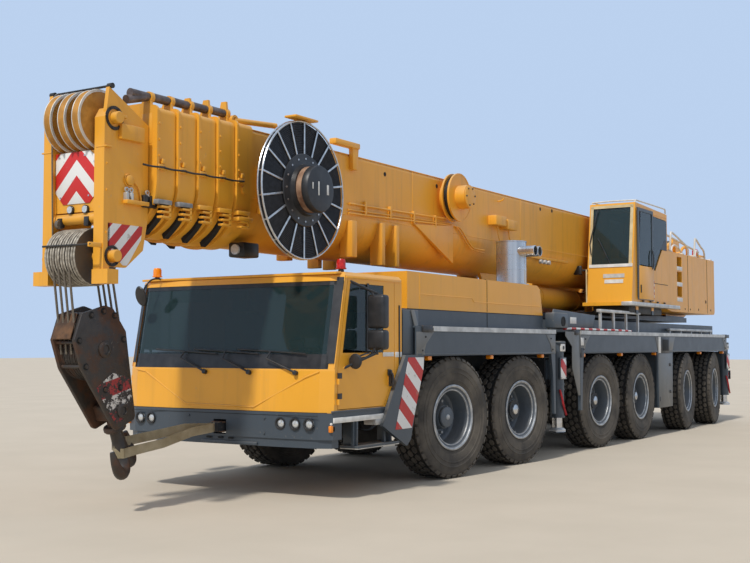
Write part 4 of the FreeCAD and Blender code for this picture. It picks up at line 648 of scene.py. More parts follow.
# Driver's cab.
# Pressed steel shell in warm yellow enamel with a wide raked windscreen in a black printed border,
# three wipers, moulded trims and marker lamps, all bonded or screwed to the shell.
CAB_YELLOW = (0.80, 0.380, 0.030)
yellow = enamel("yellow_enamel", CAB_YELLOW, dustiness=0.35, gloss=0.33, grime=0.28)
glass = Finish("tinted_glass")
glass.shade(Base_Color=(0.020, 0.040, 0.044), Roughness=glass.cloud(3.0) * 0.05 + 0.02,
            Alpha=glass.cloud(1.3) * 0.1 + 0.66, IOR=1.5)
glass.material.surface_render_method = "BLENDED"
lining = mottled("cab_lining", (0.020, 0.020, 0.022), (0.06, 0.06, 0.062), 12.0, 0.75)
dress(yellow, "driver_cab")
dress(glass.material, "driver_cab_glass")
dress(lining, "driver_cab_interior")


def cab_front(across, height, out=0.0):
    """Point on the faceted cab front, moved forward by out."""
    rows = ((0.93, 6.72), (1.37, 6.705), (2.39, 6.505), (2.43, 6.445))
    bends = ((0.0, 0.0), (0.76, 0.0), (1.30, 0.03), (1.45, 0.095))

    def along(table, value):
        for (a, first), (b, second) in zip(table, table[1:]):
            if value <= b:
                break
        return first + (second - first) * (value - a) / (b - a)

    return (along(rows, height) - along(bends, abs(across)) + out, across, height)


def front_band(work, columns, low, high, out, finish, thick=0.006):
    """Strip that follows the faceted front between two heights."""
    for left, right in zip(columns, columns[1:]):
        work.plate([cab_front(left, low, out), cab_front(right, low, out), cab_front(right, high, out),
                    cab_front(left, high, out)], (thick, 0, 0), finish)


trim = Work()
facets = (-1.385, -1.30, -0.76, 0.76, 1.30, 1.385)
front_band(trim, facets, 1.385, 1.548, -0.016, black, 0.008)
front_band(trim, facets, 2.285, 2.335, -0.014, black, 0.006)
for side in (1, -1):
    front_band(trim, (1.345 * side, 1.382 * side), 1.40, 2.33, -0.014, black, 0.006)
    front_band(trim, (1.375 * side, 1.442 * side), 1.45, 2.37, 0.002, black, 0.007)
    front_band(trim, (1.442 * side, 1.450 * side), 1.40, 2.40, 0.004, yellow, 0.006)
for pivot, elbow, end, tip in (((-0.234, 1.345), (-0.60, 1.505), (-0.10, 1.552), (-1.02, 1.60)),
                               ((0.393, 1.345), (0.02, 1.50), (0.50, 1.552), (-0.42, 1.60)),
                               ((1.012, 1.345), (0.63, 1.50), (1.12, 1.552), (0.20, 1.60))):
    base = Vector(cab_front(*pivot, 0.0))
    knee = Vector(cab_front(*elbow, 0.045))
    trim.rod(base, base + Vector((0.040, 0, 0.01)), 0.026, black, 16)
    trim.rod(base + Vector((0.030, 0, 0.01)), knee, 0.012, black, 10, 0.008)
    trim.rod(Vector(cab_front(*end, 0.022)), Vector(cab_front(*tip, 0.022)), 0.009, black, 8)
    middle = (Vector(cab_front(*end, 0.03)) + Vector(cab_front(*tip, 0.03))) / 2
    trim.rod(knee, middle, 0.009, black, 8)

# Creases pressed into the yellow front panel, roof lip and gutters.
crease = ((-1.30, 1.365), (-1.164, 1.345), (-0.513, 0.991), (0.461, 0.974), (1.124, 1.300), (1.30, 1.365))
for (a, low), (b, high) in zip(crease, crease[1:]):
    trim.rod(cab_front(a, low, 0.001), cab_front(b, high, 0.001), 0.010, yellow, 8)
trim.plate([(6.51, -1.40, 2.40), (6.51, 1.40, 2.40), (6.515, 1.40, 2.425), (6.515, -1.40, 2.425)], (-0.10, 0, 0.01),
           yellow, 0.004)
front_band(trim, facets, 0.905, 0.935, 0.004, joint_black_and_shade, 0.004)
trim.block((6.55, 1.05, 1.62), (6.585, 1.20, 1.72), sign_white, 0.002)
for side in (1, -1):
    trim.block((5.27, 1.446 * side - 0.004, 2.36), (6.40, 1.446 * side + 0.014, 2.385), yellow, 0.004)
    trim.block((5.24, 1.447 * side - 0.006, 1.505), (5.385, 1.447 * side + 0.008, 1.565), sign_white, 0.003)
    trim.block((5.53, 1.447 * side - 0.012, 0.93), (6.66, 1.447 * side + 0.012, 0.955), grey, 0.006)
    trim.block((5.53, 1.450 * side - 0.012, 0.825), (6.64, 1.450 * side + 0.014, 0.882), sign_white, 0.006)
    trim.block((5.53, 1.38 * side - 0.08, 0.76), (5.82, 1.38 * side + 0.08, 0.845), aluminium, 0.01)
    trim.block((5.383, 1.38 * side - 0.12, 0.524), (6.235, 1.38 * side + 0.12, 0.546), aluminium, 0.006)
    for post in (5.46, 6.16):
        trim.block((post, 1.36 * side - 0.09, 0.545), (post + 0.03, 1.36 * side + 0.09, 0.86), grey, 0.006)
    trim.rod((5.30, 1.452 * side, 1.32), (5.30, 1.452 * side, 2.10), 0.0115, black, 12)

# Roof lamps: a red beacon over the left corner, an amber one and a roof mirror over the right.
beacon = [(0.0, 0.0), (0.058, 0.0), (0.060, 0.012), (0.050, 0.016), (0.050, 0.085), (0.040, 0.108), (0.0, 0.115)]
trim.lathe([(0.0, -0.05), (0.035, -0.05), (0.030, 0.0), (0.0, 0.0)], black, Matrix.Translation((6.36, 1.36, 2.46)), 20)
trim.lathe(beacon, red_lens, Matrix.Translation((6.36, 1.36, 2.46)), 28)
trim.lathe(beacon, amber, Matrix.Translation((6.36, -1.30, 2.46)), 28)
trim.lathe([(0.0, -0.05), (0.035, -0.05), (0.030, 0.0), (0.0, 0.0)], black, Matrix.Translation((6.36, -1.30, 2.46)), 20)
for place in (-0.95, -0.55, 0.55, 0.95):
    trim.lathe([(0.0, 0.0), (0.030, 0.0), (0.026, 0.018), (0.0, 0.022)], amber,
               Matrix.Translation(cab_front(place, 2.405, -0.03)), 16)
trim.pipe([(6.48, -1.10, 2.42), (6.60, -1.12, 2.44), (6.70, -1.16, 2.36), (6.72, -1.18, 2.28)], 0.010, black)
trim.lathe([(0.0, 0.0), (0.10, 0.004), (0.112, 0.016), (0.10, 0.030), (0.0, 0.036)], black,
           Matrix.Translation((6.74, -1.18, 2.22)) @ Matrix.Rotation(1.9, 4, "Y") @ Matrix.Diagonal((1.1, 0.75, 1, 1)), 28)
trim.done("driver_cab_trim", "carrier", "cab_black")

# Cab furniture seen through the screen: dash top, two seats with head restraints, steering wheel and sun visors.
inside = Work()
inside.block((6.25, -1.30, 1.36), (6.50, 1.30, 1.47), lining, 0.04, 4)
inside.block((6.20, 0.40, 1.42), (6.44, 1.12, 1.56), lining, 0.05, 4)
column = Matrix.Translation((6.10, 0.72, 1.60)) @ Matrix.Rotation(math.radians(-32), 4, "Y")
ring = [(0.215 + 0.016 * math.cos(t * math.tau / 10), 0.016 * math.sin(t * math.tau / 10)) for t in range(10)]
inside.lathe(ring, lining, column, 40)
for arm in (0.3, 2.4, 4.5):
    turn = column @ Matrix.Rotation(arm, 4, "Z")
    inside.rod(turn @ Vector((0.03, 0, -0.01)), turn @ Vector((0.21, 0, 0)), 0.013, lining, 8)
inside.rod(column @ Vector((0, 0, -0.28)), column @ Vector((0, 0, 0.02)), 0.035, lining, 16)
cloth = mottled("seat_cloth", (0.030, 0.033, 0.040), (0.060, 0.064, 0.075), 60.0, 0.9, 0.001)
for across in (0.72, -0.72):
    inside.block((5.45, across - 0.25, 1.35), (5.95, across + 0.25, 1.50), cloth, 0.05, 4)
    inside.block((5.40, across - 0.24, 1.48), (5.54, across + 0.24, 2.05), cloth, 0.055, 4)
    inside.block((5.41, across - 0.13, 2.06), (5.51, across + 0.13, 2.24), cloth, 0.04, 4)
    inside.plate([(6.40, across - 0.28, 2.30), (6.40, across + 0.28, 2.30), (6.44, across + 0.28, 2.14),
                  (6.44, across - 0.28, 2.14)], (-0.012, 0, 0), lining, 0.003)
inside.rod((6.44, 0.0, 2.33), (6.44, 0.0, 2.26), 0.010, black, 10)
inside.block((6.41, -0.14, 2.17), (6.44, 0.14, 2.26), black, 0.012)
inside.done("driver_cab_furniture", "carrier", "cab_black")

# Cab doors.
# Yellow pressed doors with a black-framed window, a bow handle, a kick stripe and two black
# mirror housings on tube arms ahead of the glass.
door_paint = Finish("door_enamel")
across_y = abs(door_paint.axes()[1])
housing = across_y > 1.4545
spots = door_paint.ramp(door_paint.cloud(0.7), (0.35, 0.0), (0.7, 1.0))
door_paint.shade(
    Base_Color=door_paint.mix(housing, door_paint.mix(spots, CAB_YELLOW, tuple(c * 1.08 for c in CAB_YELLOW)),
                              (0.018, 0.018, 0.019)), Roughness=door_paint.cloud(5.0) * 0.2 + 0.25)
door_paint.bump(door_paint.cloud(60.0, 2.0), 0.0005)
for name, side in SIDES.items():
    dress(door_paint.material, "cab_door_" + name)
    door = Work()
    outline = [(6.50, 1.452, 1.585), (5.60, 1.452, 1.545), (5.60, 1.452, 2.325), (6.46, 1.452, 2.345)]
    door.plate(outline, (0, 0.012, 0), black, 0.003, hole=0.048)
    door.plate([(6.47, 1.440, 1.60), (5.63, 1.440, 1.56), (5.63, 1.440, 2.31), (6.44, 1.440, 2.33)], (0, 0.006, 0),
               glass.material)
    door.plate([(5.95, 1.445, 1.58), (5.99, 1.445, 1.58), (5.99, 1.445, 2.32), (5.95, 1.445, 2.32)], (0, 0.014, 0),
               black)
    door.pipe([(5.529, 1.462, 1.335), (5.529, 1.500, 1.335), (5.529, 1.508, 1.26), (5.529, 1.500, 1.19),
               (5.529, 1.462, 1.19)], 0.013, black)
    door.block((5.50, 1.450, 1.30), (5.56, 1.474, 1.37), black, 0.008)
    door.block((5.43, 1.452, 1.515), (5.66, 1.462, 1.563), sign_white, 0.003)
    for low, high in ((1.822, 2.188), (1.592, 1.808)):
        door.block((6.005, 1.540, low), (6.135, 1.762, high), black, 0.036, 4)
        door.block((6.000, 1.562, low + 0.03), (6.012, 1.740, high - 0.03), bright_steel, 0.01)
    door.pipe([(6.12, 1.46, 2.26), (6.14, 1.60, 2.26), (6.12, 1.64, 2.16)], 0.013, black)
    door.pipe([(6.12, 1.46, 1.50), (6.14, 1.60, 1.50), (6.12, 1.64, 1.61)], 0.013, black)
    door.lathe([(0.0, 0.0), (0.075, 0.004), (0.083, 0.018), (0.070, 0.034), (0.0, 0.040)], black,
               Matrix.Translation((6.32, 1.53, 1.47)) @ Matrix.Rotation(math.pi / 2, 4, "Y"), 28)
    door.pipe([(5.95, 1.458, 1.552), (6.12, 1.52, 1.56), (6.34, 1.53, 1.50)], 0.009, black)
    if side < 0:
        bmesh.ops.transform(door.shape, matrix=Matrix.Diagonal((1, -1, 1, 1)), verts=door.shape.verts)
        bmesh.ops.reverse_faces(door.shape, faces=door.shape.faces)
    door.done("cab_door_trim_" + name, "cab_door_" + name, "cab_black")

# Front bumper.
# Pressed steel bumper in dark grey enamel with round lamps sunk in it, an open slot for the pin coupling
# and a bright lower lip.
dress(grey, "front_bumper")
lamp_glass = mottled("lamp_lens", (0.50, 0.52, 0.52), (0.72, 0.74, 0.74), 40.0, 0.12, Metallic=0.35)
bumper = Work()
for across, finish in ((0.83, lamp_glass), (1.02, lamp_glass), (1.20, lamp_glass), (-1.03, lamp_glass),
                       (-1.20, lamp_glass)):
    stand = Matrix.Translation((6.69, across, 0.812)) @ Matrix.Rotation(math.pi / 2, 4, "Y")
    bumper.lathe([(0.0, 0.0), (0.052, 0.0), (0.052, 0.020), (0.044, 0.030), (0.026, 0.038), (0.0, 0.040)], finish,
                 stand, 32)
    bumper.lathe([(0.048, 0.030), (0.066, 0.040), (0.066, 0.050), (0.054, 0.052), (0.048, 0.044)], black, stand, 32)
for place in (1.432, -1.432):
    bumper.block((6.60, place - 0.018, 0.73), (6.68, place + 0.018, 0.80), amber, 0.010, 3)
    bumper.block((6.60, place - 0.012, 0.805), (6.66, place + 0.012, 0.83), sign_white, 0.006)
for slot in (-0.157, 0.008, 0.157):
    bumper.block((6.728, slot - 0.035, 0.62), (6.738, slot + 0.035, 0.64), joint_black_and_shade, 0.004)
bumper.block((6.725, -0.27, 0.565), (6.742, 0.52, 0.60), grey, 0.006)
bumper.plate([(6.733, -0.19, 0.655), (6.733, 0.10, 0.655), (6.733, 0.10, 0.90), (6.733, -0.19, 0.90)], (0.010, 0, 0),
             grey, 0.002, hole=0.045)
rusty = mottled("rusty_casting", (0.055, 0.030, 0.018), (0.15, 0.075, 0.035), 11.0, 0.85, 0.004)
for low, high in ((0.790, 0.806), (0.690, 0.706)):
    bumper.block((6.70, -0.095, low), (6.768, 0.075, high), rusty, 0.008)
bumper.bolts([(6.735, across, z) for across in (-0.45, 0.62) for z in (0.70, 0.86)], (1, 0, 0), 0.013, grey)
bumper.block((6.733, -1.32, 0.895), (6.738, 1.32, 0.900), joint_black_and_shade, 0.0)
bumper.done("bumper_lamps_and_trim", "carrier", "chassis_grey")

# Engine hood and silencer.
# Ribbed steel hood in yellow enamel in two lengths, and a rolled stainless silencer that stands
# through its left rear corner with two turned-back tail pipes.
dress(yellow, "engine_hood")
steel = Finish("rolled_stainless")
streaks = steel.ramp(steel.cloud(1.0, 3.0, 0.5, (9.0, 9.0, 0.35)), (0.3, 0.0), (0.7, 1.0))
steel.shade(Base_Color=steel.mix(streaks, (0.34, 0.36, 0.39), (0.68, 0.70, 0.72)), Metallic=0.85,
            Roughness=steel.cloud(6.0) * 0.2 + 0.18)
hood = Work()
hood.block((2.738, 1.297, 2.09), (2.745, 1.3035, 2.52), joint_black_and_shade, 0.0)
hood.block((2.738, -1.3035, 2.09), (2.745, -1.297, 2.52), joint_black_and_shade, 0.0)
hood.block((2.738, -1.29, 2.527), (2.745, 1.29, 2.5335), joint_black_and_shade, 0.0)
for side in (1, -1):
    for (a, low), (b, high) in (((4.56, 2.262), (3.19, 2.262)), ((3.19, 2.262), (3.12, 2.212)),
                                ((3.12, 2.212), (0.96, 2.212))):
        hood.rod((a, 1.2985 * side, low), (b, 1.2985 * side, high), 0.0065, yellow, 8)
    hood.rod((4.56, 1.298 * side, 2.09), (4.56, 1.298 * side, 2.52), 0.006, yellow, 8)
hood.block((3.2, -0.9, 2.53), (4.5, 0.9, 2.545), grey, 0.006)
for place in (3.35, 3.75, 4.15):
    hood.block((place, -0.8, 2.544), (place + 0.22, 0.8, 2.552), joint_black_and_shade, 0.003)
hood.done("hood_seams_and_grille", "carrier", "crane_yellow")

# Silencer.
# Rolled stainless drum that stands through the hood's left rear corner, banded and capped,
# with two tail pipes welded side by side into its outer face.
silencer = Work()
drum = Matrix.Translation((1.14, 0.91, 0))
silencer.lathe([(0.0, 2.50), (0.224, 2.50), (0.224, 3.170), (0.230, 3.174), (0.230, 3.186), (0.215, 3.190), (0.0, 3.190)],
               steel.material, drum, 56)
silencer.lathe([(0.220, 2.525), (0.262, 2.525), (0.262, 2.545), (0.236, 2.556), (0.220, 2.556)], steel.material, drum, 48)
for ring in (2.76, 2.98):
    silencer.lathe([(0.221, ring), (0.228, ring), (0.228, ring + 0.02), (0.221, ring + 0.02)], steel.material, drum, 48)
silencer.block((1.115, 1.125, 2.56), (1.165, 1.140, 3.15), steel.material, 0.004)
for place in (1.215, 1.055):
    tail = Matrix.Translation((place, 1.335, 3.03)) @ Matrix.Rotation(-math.pi / 2, 4, "X")
    silencer.lathe([(0.066, -0.30), (0.066, 0.0), (0.072, 0.006), (0.078, 0.0), (0.076, -0.02), (0.074, -0.30)],
                   steel.material, tail, 36)
    silencer.lathe([(0.0, -0.05), (0.067, -0.05), (0.067, -0.04), (0.0, -0.04)], joint_black_and_shade, tail, 24)
silencer.done("exhaust_drum_and_tail_pipes", "carrier", "silencer_steel", "exhaust_silencer")

# Superstructure: slewing ring, platform and winch house.
# Welded steel box on a bolted slewing ring, in yellow enamel, with step recesses and reflecting strips in its
# left side, white folding rails on top and rope wound in grooves on the hoist drum.
ring_black = mottled("greasy_ring", (0.010, 0.010, 0.010), (0.035, 0.030, 0.024), 9.0, 0.55, 0.002)
rope_steel = Finish("wire_rope")
lay = rope_steel.add("ShaderNodeVectorMath", {"operation": "DOT_PRODUCT"}, rope_steel.place(), (55.0, 40.0, 75.0),
                     out="Value") % 1.0
rope_steel.shade(Base_Color=rope_steel.mix(lay, (0.085, 0.070, 0.055), (0.26, 0.225, 0.18)), Metallic=0.4,
                 Roughness=rope_steel.cloud(20.0) * 0.2 + 0.4)
rope_steel.bump(lay, 0.002)
rope = rope_steel.material
white_rail = mottled("white_rail", (0.55, 0.54, 0.50), (0.74, 0.73, 0.70), 9.0, 0.45)
# Below 2.272 m the turntable's paint is near black: painted shade under the platform.
house_paint = enamel("house_enamel", CAB_YELLOW, dustiness=0.35, gloss=0.33, grime=0.35, shade_below=2.272)
dress(house_paint, "turntable")
dress(yellow, "hoist_drum")
house = Work()
house.lathe([(0.40, 2.085), (0.90, 2.085), (0.92, 2.095), (0.92, 2.13), (0.88, 2.142), (0.40, 2.142)], ring_black,
            Matrix.Translation((-4.31, 0, 0)), 64)
# Above each white strip, a near-black plate is painted shade in its step recess.
for high in (3.16, 2.85, 2.55):
    house.block((-5.575, 1.424, high - 0.055), (-5.245, 1.438, high + 0.02), sign_white, 0.003)
    house.block((-5.55, 1.33, high + 0.03), (-5.27, 1.345, high + 0.22), joint_black_and_shade, 0.0)
for place in (-4.61, -5.955, -7.30):
    house.block((place - 0.004, 1.425, 2.31), (place + 0.004, 1.434, 3.43), joint_black_and_shade, 0.0)
for place, height, size in ((-5.398, 2.36, 0.028), (-7.195, 2.545, 0.035), (-6.667, 2.371, 0.022), (-5.75, 2.36, 0.018),
                            (-6.10, 2.36, 0.018), (-7.55, 2.38, 0.022)):
    house.rod((place, 1.42, height), (place, 1.4335, height), size, joint_black_and_shade, 14)
house.block((-5.20, 1.30, 2.335), (-2.46, 1.505, 2.405), aluminium, 0.012)
house.block((-5.10, 0.66, 2.345), (-2.52, 1.30, 2.395), ring_black, 0.01)
house.block((-4.50, 0.70, 2.20), (-2.70, 1.36, 2.34), ring_black, 0.02)

# Folded handrails, lamps and hose ends on the roof of the house.
for rear, front in ((-6.55, -5.05), (-7.75, -6.65)):
    house.pipe([(front, 1.36, 3.45), (front, 1.38, 3.80), (front - 0.10, 1.36, 3.86), (rear + 0.3, 1.28, 3.70),
                (rear, 1.26, 3.66), (rear - 0.02, 1.26, 3.45)], 0.020, white_rail)
    house.pipe([(front - 0.28, 1.30, 3.45), (front - 0.30, 1.30, 3.66), (rear + 0.32, 1.22, 3.58),
                (rear + 0.28, 1.22, 3.45)], 0.018, white_rail)
    for place in (front, rear, (front + rear) / 2):
        house.block((place - 0.06, 1.20, 3.435), (place + 0.06, 1.40, 3.475), white_rail, 0.008)
house.pipe([(-4.62, 0.9, 4.05), (-5.3, 1.0, 3.94), (-6.4, 1.1, 3.78), (-7.5, 1.2, 3.62)], 0.022, white_rail)
house.pipe([(-4.72, 1.30, 3.45), (-4.72, 1.30, 3.80), (-4.66, 1.2, 3.96), (-4.62, 1.1, 4.0)], 0.020, white_rail)
for start, finish_at in ((-5.0, -5.7), (-5.9, -6.7), (-6.9, -7.6)):
    house.pipe([(start, 0.95, 3.44), (start - 0.1, 0.98, 3.66), ((start + finish_at) / 2, 1.02, 3.74),
                (finish_at + 0.1, 0.98, 3.62), (finish_at, 0.92, 3.44)], 0.034, yellow)
    house.block((start - 0.20, 0.80, 3.44), (start - 0.02, 1.0, 3.60), yellow, 0.02)
house.block((-7.80, 0.95, 3.44), (-7.45, 1.25, 3.56), yellow, 0.02)
house.lathe([(0.0, 0.0), (0.065, 0.0), (0.065, 0.10), (0.045, 0.135), (0.0, 0.14)], red_lens,
            Matrix.Translation((-7.62, 1.10, 3.56)), 24)
for side in (1, -1):
    for high in (2.75, 3.15):
        house.block((-8.98, side * 0.50 - 0.10, high), (-8.955 - 0.05, side * 0.50 + 0.10, high + 0.12), red_lens, 0.01)
    house.bolts([(place, 0.6285 * side, z) for place in (-3.2, -4.2) for z in (2.7, 3.0)], (0, side, 0), 0.02, yellow)
    for step in range(5):
        place = -8.02 - 0.16 * step
        house.rod((place, 0.70 * side, 2.40), (place - 0.14, 0.86 * side, 2.78), 0.022, yellow, 10)
        house.rod((place - 0.14, 0.86 * side, 2.40), (place, 0.70 * side, 2.78), 0.022, yellow, 10)
    house.rod((-8.0, 0.78 * side, 2.78), (-8.86, 0.78 * side, 2.78), 0.028, yellow, 12)
    house.rod((-8.0, 0.78 * side, 2.40), (-8.86, 0.78 * side, 2.40), 0.028, yellow, 12)

# Doors, louvres and handles of the right-hand machine house.
for place in (-3.06, -4.35, -5.65, -6.95):
    house.block((place - 0.004, -1.436, 2.34), (place + 0.004, -1.427, 3.41), joint_black_and_shade, 0.0)
for place in (-3.60, -4.90, -6.20):
    house.block((place - 0.35, -1.437, 2.95), (place + 0.35, -1.428, 3.26), joint_black_and_shade, 0.004)
    for slat in range(7):
        height = 2.965 + 0.042 * slat
        house.plate([(place - 0.34, -1.430, height + 0.03), (place + 0.34, -1.430, height + 0.03),
                     (place + 0.34, -1.448, height), (place - 0.34, -1.448, height)], (0, 0.0, -0.005), yellow)
    for hinge in (-0.48, 0.48):
        house.block((place + hinge - 0.02, -1.445, 2.56), (place + hinge + 0.02, -1.428, 2.66), black, 0.006)
    house.block((place - 0.06, -1.446, 2.72), (place + 0.06, -1.428, 2.76), black, 0.008)
house.pipe([(-3.3, -1.30, 3.44), (-3.3, -1.34, 3.86), (-3.5, -1.34, 3.92), (-7.4, -1.34, 3.92), (-7.6, -1.34, 3.86),
            (-7.6, -1.30, 3.44)], 0.018, white_rail)
house.pipe([(-3.3, -1.33, 3.68), (-7.6, -1.33, 3.68)], 0.014, white_rail, 2)
for place in (-4.2, -5.1, -6.0, -6.9):
    house.rod((place, -1.31, 3.43), (place, -1.34, 3.915), 0.015, white_rail, 10)
for place in (-3.9, -5.4, -6.8):
    house.block((place - 0.42, -1.15, 3.438), (place + 0.42, -0.78, 3.456), grey, 0.006)
house.done("winch_house_trim", "superstructure", "crane_yellow")

winding = Work()
turns = 26
profile = [(0.26, -0.335)]
for turn in range(turns):
    start = -0.335 + 0.67 * turn / turns
    profile += [(0.330, start + 0.002), (0.342, start + 0.008), (0.342, start + 0.018), (0.330, start + 0.024)]
winding.lathe(profile + [(0.26, 0.335)], rope,
              Matrix.Translation((-8.42, 0, 3.64)) @ Matrix.Rotation(-math.pi / 2, 4, "X"), 40)
winding.done("drum_rope_layers", "hoist_drum", "rod_chrome")

# Crane operator's cab.
# Narrow yellow cab with bonded glass in pale seals, white rails on the roof edges, a wiper that sweeps
# the whole screen and a sliding side door in dark grey frames.
dress(yellow, "crane_cab")
dress(glass.material, "crane_cab_glass")
dress(cloth, "crane_cab_seat")
dress(grey, "crane_cab_door")


def operator_front(across, height, out=0.0):
    """Point on the crane cab's front, which leans below and above its sill."""
    if height < 3.01:
        place = -2.62 + (-2.53 + 2.62) * (3.01 - height) / 0.61
    else:
        place = -2.62 - 0.16 * (height - 3.01) / 1.16
    return (place + out, across, height)


post_beige = mottled("cab_post", (0.50, 0.40, 0.22), (0.66, 0.55, 0.33), 6.0, 0.4)
upper = Work()
for low, high, left, right in ((3.055, 4.115, 0.655, 0.705), (3.055, 4.115, 1.39, 1.445), (4.085, 4.135, 0.66, 1.44)):
    upper.plate([operator_front(left, low, 0.002), operator_front(right, low, 0.002),
                 operator_front(right, high, 0.002), operator_front(left, high, 0.002)], (0.008, 0, 0), post_beige)
upper.plate([operator_front(0.66, 3.02, 0.002), operator_front(1.46, 3.02, 0.002), operator_front(1.46, 3.075, 0.002),
             operator_front(0.66, 3.075, 0.002)], (0.010, 0, 0), sign_white)
upper.plate([operator_front(0.959, 2.733, 0.002), operator_front(1.301, 2.733, 0.002), operator_front(1.301, 2.80, 0.002),
             operator_front(0.959, 2.80, 0.002)], (0.006, 0, 0), sign_white)
upper.plate([operator_front(0.93, 2.83, 0.002), operator_front(1.32, 2.83, 0.002), operator_front(1.32, 2.90, 0.002),
             operator_front(0.93, 2.90, 0.002)], (0.006, 0, 0), aluminium)
for start, end in (((0.79, 4.06), (0.664, 3.45)), ((0.664, 3.45), (0.70, 3.25))):
    upper.rod(operator_front(*start, 0.03), operator_front(*end, 0.03), 0.010, black, 8)
upper.rod(operator_front(1.05, 3.08, 0.0), operator_front(0.82, 3.55, 0.035), 0.009, black, 8)
upper.block((-2.56, 0.40, 2.90), (-2.50, 0.56, 3.06), black, 0.02)
upper.rod((-2.60, 0.64, 2.98), (-2.53, 0.54, 2.98), 0.012, black, 8)
upper.rod((-2.535, 0.64, 2.40), (-2.535, 0.64, 2.99), 0.013, post_beige, 10)
for across in (0.665, 1.455):
    upper.pipe([(-2.80, across, 4.13), (-2.80, across, 4.205), (-2.86, across, 4.215), (-4.44, across, 4.215),
                (-4.50, across, 4.205), (-4.50, across, 4.13)], 0.014, white_rail)
upper.pipe([(-2.80, 0.665, 4.205), (-2.79, 0.9, 4.212), (-2.79, 1.2, 4.212), (-2.80, 1.455, 4.205)], 0.013, white_rail)
upper.block((-3.50, 1.466, 3.42), (-4.50, 1.474, 3.98), black, 0.0)
upper.plate([(-3.68, 1.470, 4.04), (-4.505, 1.470, 4.0), (-4.505, 1.470, 3.60), (-4.38, 1.470, 3.58),
             (-3.66, 1.470, 3.06)], (0, 0.008, 0), black, 0.002, hole=0.03)
upper.plate([(-3.71, 1.468, 4.0), (-4.47, 1.468, 3.97), (-4.47, 1.468, 3.62), (-4.36, 1.468, 3.60),
             (-3.69, 1.468, 3.12)], (0, 0.007, 0), glass.material)
upper.block((-4.54, 1.468, 2.768), (-3.66, 1.4745, 2.777), joint_black_and_shade, 0.0)
upper.block((-3.655, 1.468, 2.42), (-3.647, 1.4745, 4.08), joint_black_and_shade, 0.0)
cab_stripes = striped("cab_warning_film", (0.3, 0.0, -0.95), 0.10)
upper.block((-3.68, 1.470, 2.44), (-3.745, 1.477, 2.83), cab_stripes, 0.002)
for place in (-3.1, -3.5, -3.9, -4.3):
    upper.block((place - 0.03, 1.468, 2.415), (place + 0.03, 1.50, 2.44), black, 0.005)
upper.block((-3.05, 0.80, 3.02), (-2.86, 1.35, 3.20), lining, 0.04, 4)
for across in (0.80, 1.30):
    upper.block((-3.80, across - 0.05, 3.00), (-3.30, across + 0.05, 3.10), lining, 0.03, 4)
    upper.rod((-3.34, across, 3.10), (-3.30, across, 3.24), 0.014, lining, 10)
    upper.lathe([(0.0, 0.0), (0.022, 0.006), (0.028, 0.024), (0.018, 0.044), (0.0, 0.048)], black,
                Matrix.Translation((-3.30, across, 3.23)), 16)
upper.done("crane_cab_trim", "superstructure", "crane_yellow")

side_door = Work()
side_door.plate([(-2.86, 1.500, 3.055), (-3.58, 1.500, 3.055), (-3.60, 1.500, 4.05), (-2.97, 1.500, 4.06)],
                (0, 0.010, 0), black, 0.002, hole=0.034)
side_door.plate([(-2.88, 1.488, 3.07), (-3.56, 1.488, 3.07), (-3.58, 1.488, 4.03), (-2.98, 1.488, 4.04)],
                (0, 0.006, 0), glass.material)
side_door.plate([(-2.83, 1.504, 2.46), (-3.62, 1.504, 2.46), (-3.62, 1.504, 3.05), (-2.85, 1.504, 3.05)],
                (0, 0.005, 0), yellow, 0.002)
side_door.block((-2.93, 1.506, 2.57), (-2.885, 1.520, 2.71), joint_black_and_shade, 0.010)
side_door.pipe([(-3.54, 1.51, 3.02), (-3.54, 1.54, 3.05), (-3.54, 1.54, 3.32), (-3.54, 1.51, 3.36)], 0.011, black)
side_door.done("crane_cab_door_trim", "crane_cab_door", "cab_glass")

